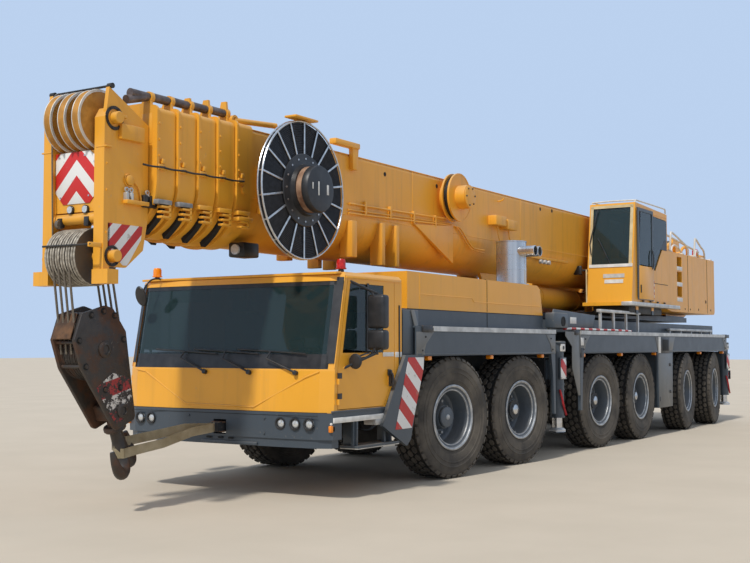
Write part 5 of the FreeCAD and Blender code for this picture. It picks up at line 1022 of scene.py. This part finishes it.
# Main boom section.
# Long box in yellow enamel, folded above and rolled to a round belly below, welded along both sides,
# with hydraulic pipes in clips, gussets, junction boxes and the small signal-cable reel.
boom_yellow = enamel("boom_enamel", (0.78, 0.370, 0.032), dustiness=0.5, gloss=0.38, grime=0.5)
dress(boom_yellow, "boom_base", "lift_cylinder")
dress(chrome, "lift_rod")
boom = Work()
for side in (1, -1):
    boom.rod((-6.95, 0.519 * side, 3.24), (7.10, 0.519 * side, 3.24), 0.006, boom_yellow, 8)
    boom.rod((-6.95, 0.512 * side, 3.985), (7.10, 0.512 * side, 3.985), 0.007, boom_yellow, 8)
    for place in (-0.041, 3.386, -3.4):
        boom.block((place - 0.006, side * 0.516, 3.26), (place + 0.006, side * 0.523, 3.97), boom_yellow, 0.002)
    for place, height in ((4.098, 3.851), (2.72, 3.861), (-0.817, 3.902), (-1.30, 3.921)):
        boom.rod((place, 0.515 * side, height), (place, 0.5225 * side, height), 0.030, joint_black_and_shade, 16)
    for low, points in ((0.012, [(4.96, 3.378), (4.0, 3.392), (3.0, 3.412), (2.44, 3.428)]),
                        (0.012, [(4.98, 3.256), (3.6, 3.30), (2.6, 3.335), (2.15, 3.35), (2.05, 3.32), (1.72, 3.08),
                                 (1.60, 3.06), (1.30, 3.06)]),
                        (0.009, [(4.98, 3.30), (3.6, 3.335), (2.7, 3.36), (2.30, 3.37), (2.14, 3.33), (1.84, 3.10),
                                 (1.70, 3.03), (1.30, 3.02)])):
        boom.pipe([(x, 0.545 * side, z) for x, z in points], low, boom_yellow)
    for place in (4.6, 4.0, 3.4, 2.8):
        boom.block((place - 0.02, min(0.51 * side, 0.558 * side), 3.27), (place + 0.02, max(0.51 * side, 0.558 * side), 3.44),
                   boom_yellow, 0.004)
    boom.plate([(3.386, 0.50 * side, 3.264), (2.304, 0.50 * side, 3.34), (2.309, 0.50 * side, 2.80)],
               (0, 0.055 * side, 0), boom_yellow, 0.004)
    boom.block((4.84, min(0.40 * side, 0.58 * side), 2.72), (4.96, max(0.40 * side, 0.58 * side), 3.17), boom_yellow, 0.012)
    boom.block((3.84, min(0.40 * side, 0.585 * side), 2.66), (3.92, max(0.40 * side, 0.585 * side), 3.20), boom_yellow, 0.01)
    boom.block((4.19, min(0.40 * side, 0.585 * side), 2.66), (4.275, max(0.40 * side, 0.585 * side), 3.20), boom_yellow, 0.01)
    for place in (1.14, 0.744):
        low, high = (3.464, 3.61) if place > 1 else (3.43, 3.58)
        boom.block((place - 0.38, min(0.515 * side, 0.66 * side), low), (place - 0.02, max(0.515 * side, 0.66 * side), high),
                   boom_yellow, 0.01)
        boom.pipe([(place - 0.2, 0.59 * side, low), (place - 0.2, 0.59 * side, 3.28), (place - 0.5, 0.56 * side, 3.12),
                   (place - 0.9, 0.55 * side, 3.10)], 0.009, boom_yellow)
    boom.block((-1.90, min(0.51 * side, 0.565 * side), 3.06), (0.10, max(0.51 * side, 0.565 * side), 3.10), boom_yellow, 0.008)
    for place in (-0.70, -0.86, -1.02):
        boom.rod((place, 0.55 * side, 3.02), (place, 0.60 * side, 3.02), 0.035, aluminium, 16)
    boom.pipe([(0.768, 0.52 * side, 3.86), (0.768, 0.60 * side, 3.86), (0.768, 0.62 * side, 3.90)], 0.012, boom_yellow)
    boom.rod((7.02, 0.524 * side, 3.30), (7.02, 0.57 * side, 3.30), 0.045, boom_yellow, 24)
    for place in (-6.45,):
        boom.lathe([(0.0, 0.0), (0.15, 0.0), (0.15, 0.035), (0.11, 0.05), (0.0, 0.05)], boom_yellow,
                   Matrix.Translation((place, 0.625 * side, 3.25)) @ Matrix.Rotation(-math.pi / 2 * side, 4, "X"), 32)
for place in (6.4, 4.4, 2.4, 0.4, -1.6, -3.6, -5.6):
    boom.block((place - 0.05, -0.10, 3.995), (place + 0.05, 0.10, 4.03), boom_yellow, 0.008)
boom.block((6.63, 0.24, 2.60), (6.90, 0.46, 2.76), black, 0.02)
boom.rod((6.90, 0.35, 2.68), (6.925, 0.35, 2.68), 0.055, lamp_glass, 20)

# Arm and roller that hold the reel, and the small cable reel's hub.
boom.block((4.80, 0.50, 4.06), (5.34, 0.60, 4.13), boom_yellow, 0.012)
boom.plate([(4.80, 0.52, 4.13), (4.95, 0.52, 4.13), (4.93, 0.52, 3.80), (4.83, 0.52, 3.80)], (0, 0.06, 0), boom_yellow,
           0.006)
boom.block((6.30, 0.86, 4.10), (6.72, 1.02, 4.125), boom_yellow, 0.008)
boom.rod((6.40, 0.50, 4.05), (6.40, 0.94, 4.11), 0.024, boom_yellow, 14)
for height in (3.20, 3.46):
    boom.rod((6.48, 0.50, height), (6.48, 0.90, 3.33), 0.035, boom_yellow, 14)
boom.block((6.98, 0.86, 3.22), (7.10, 0.90, 3.44), black, 0.02)
reel_place = Matrix.Translation((2.42, 0.0, 3.72)) @ Matrix.Rotation(-math.pi / 2, 4, "X")
boom.lathe([(0.18, 0.635), (0.300, 0.635), (0.300, 0.705), (0.18, 0.705)], black, reel_place, 40)
for level in (0.632, 0.732):
    boom.lathe([(0.320, level - 0.026), (0.341, level - 0.026), (0.341, level + 0.002), (0.320, level + 0.002)],
               boom_yellow, reel_place, 48)
boom.lathe([(0.0, 0.875), (0.150, 0.875), (0.158, 0.882), (0.158, 0.892), (0.13, 0.900), (0.0, 0.900)], boom_yellow,
           reel_place, 36)
boom.bolts([(2.42 + 0.125 * math.cos(a), 0.898, 3.72 + 0.125 * math.sin(a)) for a in range(6)], (0, 1, 0), 0.012, black)
boom.done("boom_pipes_and_brackets", "boom_base", "crane_yellow")

ram = Work()
way = (Vector((0.45, 0, 2.50)) - Vector((-3.75, 0, 2.47))).normalized()
ram_turn = way.to_track_quat("Z", "Y").to_matrix().to_4x4()
for reach, size in ((0.35, 0.196), (2.0, 0.192), (3.45, 0.20)):
    ram.lathe([(0.17, reach), (size, reach), (size, reach + 0.07), (0.17, reach + 0.07)], boom_yellow,
              Matrix.Translation((-3.75, 0, 2.47)) @ ram_turn, 36)
ram.done("lift_cylinder_bands", "lift_cylinder", "crane_yellow")

# Telescoping sections.
# Each section ends in a welded collar with two guide horns, wear-pad covers under bolts on its sides,
# a clip for the signal cable, and a bracket shaped like a comb that hangs below its lower corner.
shaft_steel = mottled("dark_shaft", (0.070, 0.052, 0.046), (0.21, 0.16, 0.14), 8.0, 0.42, Metallic=0.5)
bare_pad = mottled("grey_wear_pad", (0.20, 0.21, 0.22), (0.36, 0.36, 0.36), 14.0, 0.6)
for step, body in enumerate(("boom_base", "boom_section_1", "boom_section_2", "boom_section_3", "boom_section_4")):
    if step:
        dress(boom_yellow, body)
    face = 7.15 + 0.29 * step
    half = 0.562 - 0.014 * step
    top = 4.042 - 0.010 * step
    collar = Work()
    for side in (1, -1):
        near, far = sorted((side * (half - 0.02), side * (half + 0.014)))
        collar.block((face - 0.115, near, 3.36), (face - 0.015, far, 3.415), boom_yellow, 0.006)
        collar.block((face - 0.10, near, 3.42), (face - 0.06, max(far, near + 0.04), 3.47), boom_yellow, 0.005)
        near, far = sorted((side * (half - 0.03), side * (half + 0.035)))
        collar.block((face - 0.185, near, 3.02), (face + 0.015, far, 3.065), bare_pad if step > 2 else boom_yellow, 0.005)
        collar.block((face - 0.175, near, 2.88), (face - 0.145, far, 3.02), boom_yellow, 0.005)
        for level in (2.885, 2.935, 2.985):
            collar.block((face - 0.165, near, level), (face - 0.035, far, level + 0.022), boom_yellow, 0.004)
        for level in (3.50, 3.66, 3.82):
            collar.bolts([(face - 0.035, half * side, level)], (0, side, 0), 0.014, boom_yellow, 0.010)
        collar.block((face - 0.020, min(0.30 * side, 0.44 * side), 3.62), (face + 0.004, max(0.30 * side, 0.44 * side), 3.92),
                     boom_yellow, 0.004)
        collar.rod((face - 0.01, 0.367 * side, top + 0.085), (face - 0.055, 0.367 * side, top + 0.085), 0.058, boom_yellow, 20)
        collar.bolts([(face, 0.30 * side, 2.98 + 0.0 * step), (face, 0.15 * side, 2.86), (face, 0.42 * side, 3.14)],
                     (1, 0, 0), 0.014, boom_yellow, 0.012)
        if step:
            # Dark crescent on the belly: painted shadow in the gap between this collar and the next.
            gap_shadow_outline = ((0.22, 2.685), (0.29, 2.74), (0.37, 2.810), (0.44, 2.895), (0.485, 3.00), (0.44, 3.00), (0.40, 2.93),
                   (0.33, 2.84), (0.25, 2.77), (0.20, 2.73))
            collar.plate([(face - 0.19, y * side, z + 0.020 * step - 0.02) for y, z in gap_shadow_outline], (0.075, 0, 0), joint_black_and_shade)
    collar.rod((face - 0.05, 0.367, top + 0.085), (face + 0.24, 0.367, top + 0.085), 0.044, shaft_steel, 24)
    collar.pipe([(face - 0.09, half + 0.022, 3.385), (face + 0.03, half + 0.030, 3.375), (face + 0.12, half + 0.018, 3.372),
                 (face + 0.20, half + 0.008, 3.38)], 0.010, black)
    if step == 0:
        collar.rod((7.06, 0.43, 4.06), (6.40, 0.50, 4.10), 0.032, boom_yellow, 16)
        collar.lathe([(0.030, -0.03), (0.055, -0.03), (0.055, 0.03), (0.030, 0.03)], boom_yellow,
                     Matrix.Translation((7.06, 0.43, 4.06)) @ Matrix.Rotation(math.pi / 2, 4, "X"), 24)
        collar.block((6.92, 0.50, 2.96), (7.16, 0.60, 3.00), boom_yellow, 0.006)
    collar.done("collar_trim_%d" % step, body, "crane_yellow")

# Boom head.
# Two cheek plates on a welded cross frame carry three sheaves above and six below; a chevron plate is bolted
# across the front with two lamps under it, and guard rods keep the ropes in the sheave grooves.
sheave_paint = Finish("sheave_paint")
across, turned_at, height = sheave_paint.axes()
rope_colour = sheave_paint.mix((turned_at * 62.0) % 1.0, (0.022, 0.018, 0.014), (0.10, 0.08, 0.06))
worn_gold = sheave_paint.mix(sheave_paint.ramp(sheave_paint.cloud(9.0), (0.4, 0.0), (0.6, 1.0)), (0.42, 0.20, 0.03),
                             (0.56, 0.28, 0.05))
sheave_paint.shade(Base_Color=sheave_paint.mix(height > 3.1, rope_colour, worn_gold),
                   Roughness=sheave_paint.cloud(14.0) * 0.2 + 0.45)
sheave_paint.bump(sheave_paint.cloud(30.0), 0.001)
dress(boom_yellow, "boom_head")
dress(sheave_paint.material, "head_sheaves")
chevron = Finish("chevron_film")
along, sideways, height = chevron.axes()
rise = height + abs(sideways - 0.012) * 1.02
band = (rise / 0.30 + 0.62) % 1.0 > 0.5
chipped = chevron.ramp(chevron.cloud(22.0, 6.0), (0.66, 0.0), (0.72, 1.0)) * 0.4
chevron.shade(Base_Color=chevron.mix(chipped, chevron.mix(band, (0.58, 0.022, 0.02), (0.76, 0.77, 0.76)),
                                     (0.35, 0.30, 0.24)), Roughness=chevron.cloud(12.0) * 0.2 + 0.3)
wound_rope = mottled("wound_rope", (0.20, 0.175, 0.14), (0.52, 0.48, 0.40), 26.0, 0.55)
head_stripes = striped("head_warning_film", (0.70, 0.0, 0.70), 0.162, 0.94)
head = Work()
head.plate([(8.876, -0.275, 3.11), (8.876, -0.17, 2.99), (8.876, 0.19, 2.99), (8.876, 0.282, 3.09),
            (8.876, 0.282, 3.42), (8.876, 0.19, 3.49), (8.876, -0.275, 3.49)], (0.008, 0, 0), chevron.material, 0.002)
head.bolts([(8.884, a, b) for a, b in ((-0.22, 3.45), (0.12, 3.45), (-0.2, 3.06), (0.18, 3.06), (0.25, 3.38))],
           (1, 0, 0), 0.010, bright_steel, 0.006)
head.block((8.82, -0.28, 2.86), (8.885, 0.28, 2.895), boom_yellow, 0.006)
for place, height in ((-0.057, 2.935), (0.145, 2.93)):
    head.rod((8.86, place, height), (8.90, place, height), 0.040, black, 20)
    head.rod((8.90, place, height), (8.906, place, height), 0.033, lamp_glass, 20)
for place in (-0.19, 0.17):
    head.block((8.86, place - 0.03, 2.77), (8.91, place + 0.03, 2.86), black, 0.008)
head.block((8.84, -0.40, 2.57), (8.90, 0.30, 2.61), boom_yellow, 0.006)
for side in (1, -1):
    near, far = sorted((side * 0.402, side * 0.452))
    head.block((8.42, near, 3.60), (8.73, far, 3.75), boom_yellow, 0.012)
    for place, height, size in ((8.79, 3.79, 0.115), (8.80, 2.48, 0.10)):
        centre = Matrix.Translation((place, 0.404 * side, height)) @ Matrix.Rotation(-math.pi / 2 * side, 4, "X")
        head.lathe([(size - 0.030, 0.0), (size, 0.0), (size, 0.012), (size - 0.030, 0.012)], ring_black, centre, 32)
        head.lathe([(0.0, 0.0), (0.058, 0.0), (0.058, 0.075), (0.050, 0.082), (0.0, 0.082)], boom_yellow, centre, 32)
        head.bolts([(place + (size - 0.015) * math.cos(a), 0.416 * side, height + (size - 0.015) * math.sin(a))
                    for a in range(6)], (0, side, 0), 0.009, ring_black, 0.008)
    head.block((8.66, near, 3.80), (8.78, far, 3.83), boom_yellow, 0.005)
    head.lathe([(0.0, 0.0), (0.050, 0.0), (0.050, 0.030), (0.040, 0.036), (0.0, 0.036)], boom_yellow,
               Matrix.Translation((8.59, 0.404 * side, 3.22)) @ Matrix.Rotation(-math.pi / 2 * side, 4, "X"), 24)
    head.lathe([(0.055, 0.0), (0.066, 0.0), (0.066, 0.014), (0.055, 0.014)], boom_yellow,
               Matrix.Translation((8.59, 0.404 * side, 3.22)) @ Matrix.Rotation(-math.pi / 2 * side, 4, "X"), 24)
    head.pipe([(8.62, 0.41 * side, 3.24), (8.52, 0.42 * side, 3.22), (8.44, 0.42 * side, 3.12), (8.43, 0.42 * side, 3.0)],
              0.008, boom_yellow)
    head.block((8.36, near, 2.99), (8.66, max(far, near + 0.06), 3.03), boom_yellow, 0.006)
    head.block((8.24, near, 2.98), (8.42, far, 3.10), ring_black, 0.01)
    for place in (8.36, 8.58, 8.64):
        head.block((place - 0.018, near, 3.02), (place + 0.018, far, 3.10), aluminium, 0.008)
        head.lathe([(0.014, -0.006), (0.026, -0.006), (0.026, 0.006), (0.014, 0.006)], aluminium,
                   Matrix.Translation((place, 0.43 * side, 3.125)) @ Matrix.Rotation(math.pi / 2, 4, "X"), 20)
    head.plate([(8.86, 0.404 * side, 2.79), (8.40, 0.404 * side, 2.79), (8.42, 0.404 * side, 2.66),
                (8.60, 0.404 * side, 2.40), (8.66, 0.404 * side, 2.40), (8.86, 0.404 * side, 2.56)],
               (0, 0.006 * side, 0), head_stripes)
    head.bolts([(8.88, 0.41 * side, z) for z in (3.35, 3.1, 2.7)], (1, 0, 0), 0.012, boom_yellow, 0.006)
    head.block((8.835, min(0.30 * side, 0.44 * side), 3.50), (8.920, max(0.30 * side, 0.44 * side), 3.515), boom_yellow, 0.004)
    head.rod((8.825, 0.36 * side, 4.095), (8.825, 0.42 * side, 4.095), 0.026, ring_black, 16)
head.rod((8.825, -0.37, 4.095), (8.825, 0.37, 4.095), 0.012, ring_black, 12)
head.rod((8.905, -0.17, 2.80), (8.905, -0.21, 2.80), 0.045, rope, 20)
for place in (-0.19, 0.0, 0.19):
    centre = Matrix.Translation((8.79, place, 3.79)) @ Matrix.Rotation(-math.pi / 2, 4, "X")
    for rim_at in (-0.043, 0.043):
        head.lathe([(0.268, rim_at - 0.006), (0.292, rim_at - 0.005), (0.295, rim_at), (0.292, rim_at + 0.005),
                    (0.268, rim_at + 0.006)], white_rail, centre, 48)
for place in (-0.175, -0.105, -0.035, 0.035, 0.105, 0.175):
    centre = Matrix.Translation((8.80, place, 2.48)) @ Matrix.Rotation(-math.pi / 2, 4, "X")
    for layer in (-0.017, 0.017):
        ring = [(0.266 + 0.012 * math.cos(t * math.tau / 8), layer + 0.012 * math.sin(t * math.tau / 8)) for t in range(8)]
        head.lathe(ring, wound_rope, centre, 48)
head.rod((8.930, -0.292, 3.92), (8.935, -0.235, 2.26), 0.008, rope, 10)
head.pipe([(8.825, -0.30, 4.10), (8.87, -0.30, 4.09), (8.92, -0.295, 4.02), (8.930, -0.292, 3.92)], 0.008, rope)
head.rod((9.070, -0.23, 2.577), (9.070, 0.40, 2.572), 0.010, ring_black, 12)
head.block((8.86, 0.375, 2.550), (9.080, 0.400, 2.595), boom_yellow, 0.006)
head.rod((8.60, 0.367, 4.01), (8.36, 0.367, 4.075), 0.044, shaft_steel, 20)
head.pipe([(8.30, 0.44, 3.42), (8.28, 0.47, 3.36), (8.25, 0.51, 3.37)], 0.010, black)
head.done("boom_head_trim", "boom_head", "crane_yellow")

# Signal-cable reel.
# Flat spiral of black cable between two hoops of bright tube, held by eighteen bright spokes
# and a bolted black flange, with a rusty neck and a black motor cover in the middle.
dark_cable = mottled("reel_cable", (0.006, 0.007, 0.010), (0.020, 0.022, 0.028), 16.0, 0.6)
neck_rust = mottled("rusty_neck", (0.16, 0.07, 0.035), (0.40, 0.25, 0.16), 7.0, 0.7, 0.002)
reel = Work()
stand = Matrix.Translation((6.48, 0.0, 3.33)) @ Matrix.Rotation(-math.pi / 2, 4, "X")
turns = [(0.36, 0.905)]
for turn in range(19):
    radius = 0.38 + 0.019 * turn
    turns += [(radius, 0.905), (radius + 0.017, 0.905)]
for turn in reversed(range(19)):
    radius = 0.38 + 0.019 * turn
    turns += [(radius + 0.017, 0.940), (radius + 0.011, 0.948), (radius + 0.004, 0.948), (radius, 0.940)]
reel.lathe(turns + [(0.36, 0.940)], dark_cable, stand, 72)
for radius, level in ((0.752, 0.903), (0.752, 0.955)):
    hoop = [(radius + 0.011 * math.cos(t * math.tau / 8), level + 0.011 * math.sin(t * math.tau / 8)) for t in range(8)]
    reel.lathe(hoop, bright_steel, stand, 72)
for spoke in range(18):
    turn = stand @ Matrix.Rotation(math.tau * (spoke + 0.5) / 18, 4, "Z")
    reel.block((0.36, -0.011, 0.950), (0.752, 0.011, 0.962), bright_steel, 0.003, 1, turn)
    reel.block((0.36, -0.011, 0.894), (0.752, 0.011, 0.904), bright_steel, 0.003, 1, turn)
    reel.block((0.742, -0.006, 0.905), (0.756, 0.006, 0.955), bright_steel, 0.0, 1, turn)
reel.lathe([(0.0, 0.890), (0.395, 0.890), (0.400, 0.898), (0.400, 0.965), (0.392, 0.972), (0.30, 0.974), (0.285, 0.980),
            (0.275, 1.03), (0.0, 1.03)], black, stand, 56)
reel.lathe([(0.0, 1.02), (0.242, 1.02), (0.252, 1.03), (0.252, 1.095), (0.240, 1.10), (0.0, 1.10)], neck_rust, stand, 48)
reel.lathe([(0.0, 1.09), (0.240, 1.09), (0.256, 1.10), (0.258, 1.155), (0.246, 1.176), (0.225, 1.180), (0.0, 1.180)],
           black, stand, 56)
for angle in [math.tau * n / 16 for n in range(16)]:
    spot = stand @ Vector((0.345 * math.cos(angle), 0.345 * math.sin(angle), 0.973))
    reel.bolts([spot], (0, 1, 0), 0.011, bright_steel, 0.006)
for a, b, wide, tall in ((-0.13, 0.0, 0.018, 0.055), (0.04, 0.0, 0.010, 0.075), (0.15, 0.02, 0.010, 0.035)):
    reel.block((6.48 + a - wide, 1.178, 3.33 + b - tall), (6.48 + a + wide, 1.182, 3.33 + b + tall), sign_white, 0.001)
reel.done("signal_cable_reel", "cable_reel", "reel_black", "cable_reel")

# Hook block, hook and its tie strap.
# Two thick steel plates hold four rope sheaves and a turning forged hook; black paint has worn to rust
# around the pins, and a webbing strap pulls the hook back towards the bumper.
worn_black = Finish("worn_block_paint")
rust = worn_black.ramp(worn_black.cloud(2.6, 8.0, 0.68), (0.48, 0.0), (0.60, 1.0))
chips = worn_black.ramp(worn_black.cloud(34.0, 5.0, 0.6), (0.66, 0.0), (0.70, 1.0)) * 0.55
base_paint = worn_black.mix(worn_black.cloud(12.0), (0.014, 0.011, 0.010), (0.050, 0.040, 0.032))
rust_colour = worn_black.mix(worn_black.cloud(9.0), (0.115, 0.045, 0.018), (0.045, 0.024, 0.014))
worn_black.shade(Base_Color=worn_black.mix(chips, worn_black.mix(rust, base_paint, rust_colour), (0.17, 0.13, 0.10)),
                 Roughness=rust * 0.3 + 0.48)
worn_black.bump(worn_black.cloud(24.0, 7.0, 0.7), 0.004)
block_paint = worn_black.material
worn_film = Finish("worn_warning_film")
run = worn_film.add("ShaderNodeVectorMath", {"operation": "DOT_PRODUCT"}, worn_film.place(), (0.25, 0.0, 0.97),
                    out="Value")
gone = worn_film.ramp(worn_film.cloud(14.0, 9.0, 0.75), (0.47, 0.0), (0.50, 1.0))
worn_film.shade(
    Base_Color=worn_film.mix(gone, worn_film.mix((run / 0.30 + 0.15) % 1.0 > 0.5, (0.34, 0.030, 0.030),
                                                 (0.62, 0.60, 0.57)), (0.034, 0.026, 0.022)),
    Roughness=worn_film.cloud(10.0) * 0.2 + 0.55)
PIN = Vector((8.64, 0.0, 1.60))
tilt = Matrix.Translation(PIN) @ Matrix.Rotation(math.radians(22.0), 4, "Y")
flat = tilt @ Matrix.Rotation(-math.pi / 2, 4, "X")
outline = [(-0.33, 0.06), (-0.25, 0.33), (-0.17, 0.39), (0.10, 0.42), (0.15, 0.42), (0.32, 0.23), (0.33, -0.06),
           (0.15, -0.76), (0.12, -0.79), (-0.12, -0.79), (-0.15, -0.76)]
block = Work()
for side in (1, -1):
    block.plate([tilt @ Vector((x, 0.125 * side, z)) for x, z in outline], (0, 0.040 * side, 0), block_paint, 0.006)
    block.plate([tilt @ Vector((x, 0.165 * side, z)) for x, z in
                 ((0.235, -0.30), (-0.02, -0.25), (-0.20, -0.38), (-0.165, -0.58), (0.02, -0.74), (0.125, -0.72))],
                (0, 0.003 * side, 0), worn_film.material)
    for level, size in ((0.0, 0.078), (-0.64, 0.070)):
        face = tilt @ Matrix.Translation((0, 0.165 * side, level)) @ Matrix.Rotation(-math.pi / 2 * side, 4, "X")
        block.lathe([(0.0, 0.0), (size, 0.0), (size, 0.014), (size - 0.012, 0.022), (size * 0.6, 0.022),
                     (size * 0.55, 0.012), (0.0, 0.012)], block_paint, face, 32)
    for x, z in ((0.27, 0.20), (0.28, -0.06), (-0.24, 0.26), (-0.27, 0.0), (0.04, 0.37), (-0.12, 0.35), (-0.06, -0.42),
                 (0.13, -0.36)):
        spot = tilt @ Vector((x, 0.165 * side, z))
        block.rod(spot - Vector((0, 0.01 * side, 0)), spot + Vector((0, 0.004 * side, 0)), 0.034, joint_black_and_shade, 20)
        block.bolts([spot], (0, side, 0), 0.020, block_paint, 0.018)
for place in (-0.105, -0.035, 0.035, 0.105):
    sheave = [(0.06, -0.026), (0.10, -0.026), (0.11, -0.014), (0.25, -0.014), (0.27, -0.028), (0.300, -0.030),
              (0.300, -0.024), (0.284, -0.012), (0.284, 0.012), (0.300, 0.024), (0.300, 0.030), (0.27, 0.028),
              (0.25, 0.014), (0.11, 0.014), (0.10, 0.026), (0.06, 0.026)]
    block.lathe(sheave, block_paint, flat @ Matrix.Translation((0, 0, place)), 48)
for x, z in ((0.285, 0.19), (0.30, -0.05), (-0.24, 0.30), (0.05, 0.385), (-0.11, -0.70), (0.0, 0.0), (0.0, -0.64)):
    size = 0.062 if x == 0.0 else 0.018
    block.rod(tilt @ Vector((x, -0.13, z)), tilt @ Vector((x, 0.13, z)), size, block_paint, 24 if x == 0.0 else 14)
block.block((-0.10, -0.125, -0.72), (0.10, 0.125, -0.56), block_paint, 0.02, 3, tilt)
block.plate([tilt @ Vector(p) for p in ((0.16, -0.12, 0.425), (0.16, 0.12, 0.425), (0.325, 0.12, 0.235),
                                        (0.325, -0.12, 0.235))], (0.008, 0, 0.008), rusty, 0.002)

# Rope falls, tangent to the sheaves above and below.
for place in (-0.105, -0.035, 0.035, 0.105):
    for front in (1, -1):
        top = Vector((8.80, place, 2.48))
        low = Vector((PIN.x, place, PIN.z))
        along = (low - top).normalized()
        across = along.cross(Vector((0, front, 0)))
        lean = (0.262 - 0.296) / (low - top).length
        normal = along * lean + across * math.sqrt(1 - lean * lean)
        block.rod(top + normal * 0.262, low + normal * 0.296, 0.012, rope, 12)

# Forged double hook, seen nearly on its edge, and its nut.
block.rod(tilt @ Vector((0, 0, -0.74)), tilt @ Vector((0, 0, -0.98)), 0.060, block_paint, 28, 0.068)
block.lathe([(0.0, -0.80), (0.105, -0.80), (0.112, -0.815), (0.112, -0.84), (0.100, -0.855), (0.0, -0.855)], block_paint,
            tilt, 32)
HOOK_TURN = math.radians(28.0)
for side in (1, -1):
    arm = Work()
    run = [(0.0, -0.93, 1.0), (0.01, -1.02, 1.05), (0.03, -1.14, 1.15), (0.10, -1.26, 1.12), (0.20, -1.25, 0.95),
           (0.255, -1.15, 0.75), (0.262, -1.05, 0.55), (0.250, -0.98, 0.35)]
    line = bpy.data.curves.new("hook_line", "CURVE")
    line.dimensions = "3D"
    line.bevel_depth = 0.066
    line.bevel_resolution = 5
    line.use_fill_caps = True
    spline = line.splines.new("NURBS")
    spline.points.add(len(run) - 1)
    for point, (reach, level, size) in zip(spline.points, run):
        point.co = (reach * side * math.cos(HOOK_TURN), reach * side * math.sin(HOOK_TURN), level, 1.0)
        point.radius = size
    spline.order_u = 4
    spline.use_endpoint_u = True
    spline.resolution_u = 8
    holder = bpy.data.objects.new("hook_line", line)
    bent = bpy.data.meshes.new_from_object(holder)
    part = bmesh.new()
    part.from_mesh(bent)
    bmesh.ops.remove_doubles(part, verts=part.verts, dist=0.00001)
    bmesh.ops.recalc_face_normals(part, faces=part.faces)
    block.add(part, block_paint, tilt)
    bpy.data.objects.remove(holder)
    bpy.data.curves.remove(line)
    bpy.data.meshes.remove(bent)

# Webbing strap from the hook to the bumper, laid out as flat strips that ride with the hook block.
strap = Finish("olive_webbing")
weave = (strap.axes()[2] * 300.0) % 1.0 > 0.5
soiled = strap.ramp(strap.cloud(6.0, 6.0), (0.35, 0.0), (0.7, 1.0))
strap.shade(Base_Color=strap.mix(weave * 0.25, strap.mix(soiled, (0.34, 0.28, 0.17), (0.52, 0.45, 0.31)),
                                 (0.20, 0.16, 0.10)), Roughness=strap.cloud(12.0) * 0.2 + 0.75)
strap.bump(weave, 0.001)
block.done("hook_block_assembly", "hook_block", "block_black", "hook_block")
webbing_tie = Work()
hold = tilt @ Vector((0.0, 0.0, -1.03))
for side, sag in ((1, 0.045), (-1, -0.030)):
    points = [hold + Vector((0.085, 0.0, -0.02 - sag)), hold + Vector((0.03, 0.085 * side, -0.02 - sag)),
              hold + Vector((-0.10, 0.088 * side, -sag)), hold + Vector((-0.55, 0.070 * side, 0.040 - sag)),
              hold + Vector((-1.00, 0.05 * side, 0.10 - sag * 0.5)), Vector((6.90, 0.038 * side, 0.745)),
              Vector((6.855, 0.02 * side, 0.75))]
    for start, end in zip(points, points[1:]):
        way = (end - start)
        out = Vector((way.y, -way.x, 0)).normalized() * 0.006
        webbing_tie.plate([start - Vector((0, 0, 0.048)), end - Vector((0, 0, 0.048)), end + Vector((0, 0, 0.048)),
                           start + Vector((0, 0, 0.048))], out, strap.material)
webbing_tie.done("hook_tie_strap", "hook_block", "seat_fabric")
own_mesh(bpy.data.objects["hook_tie_strap"])
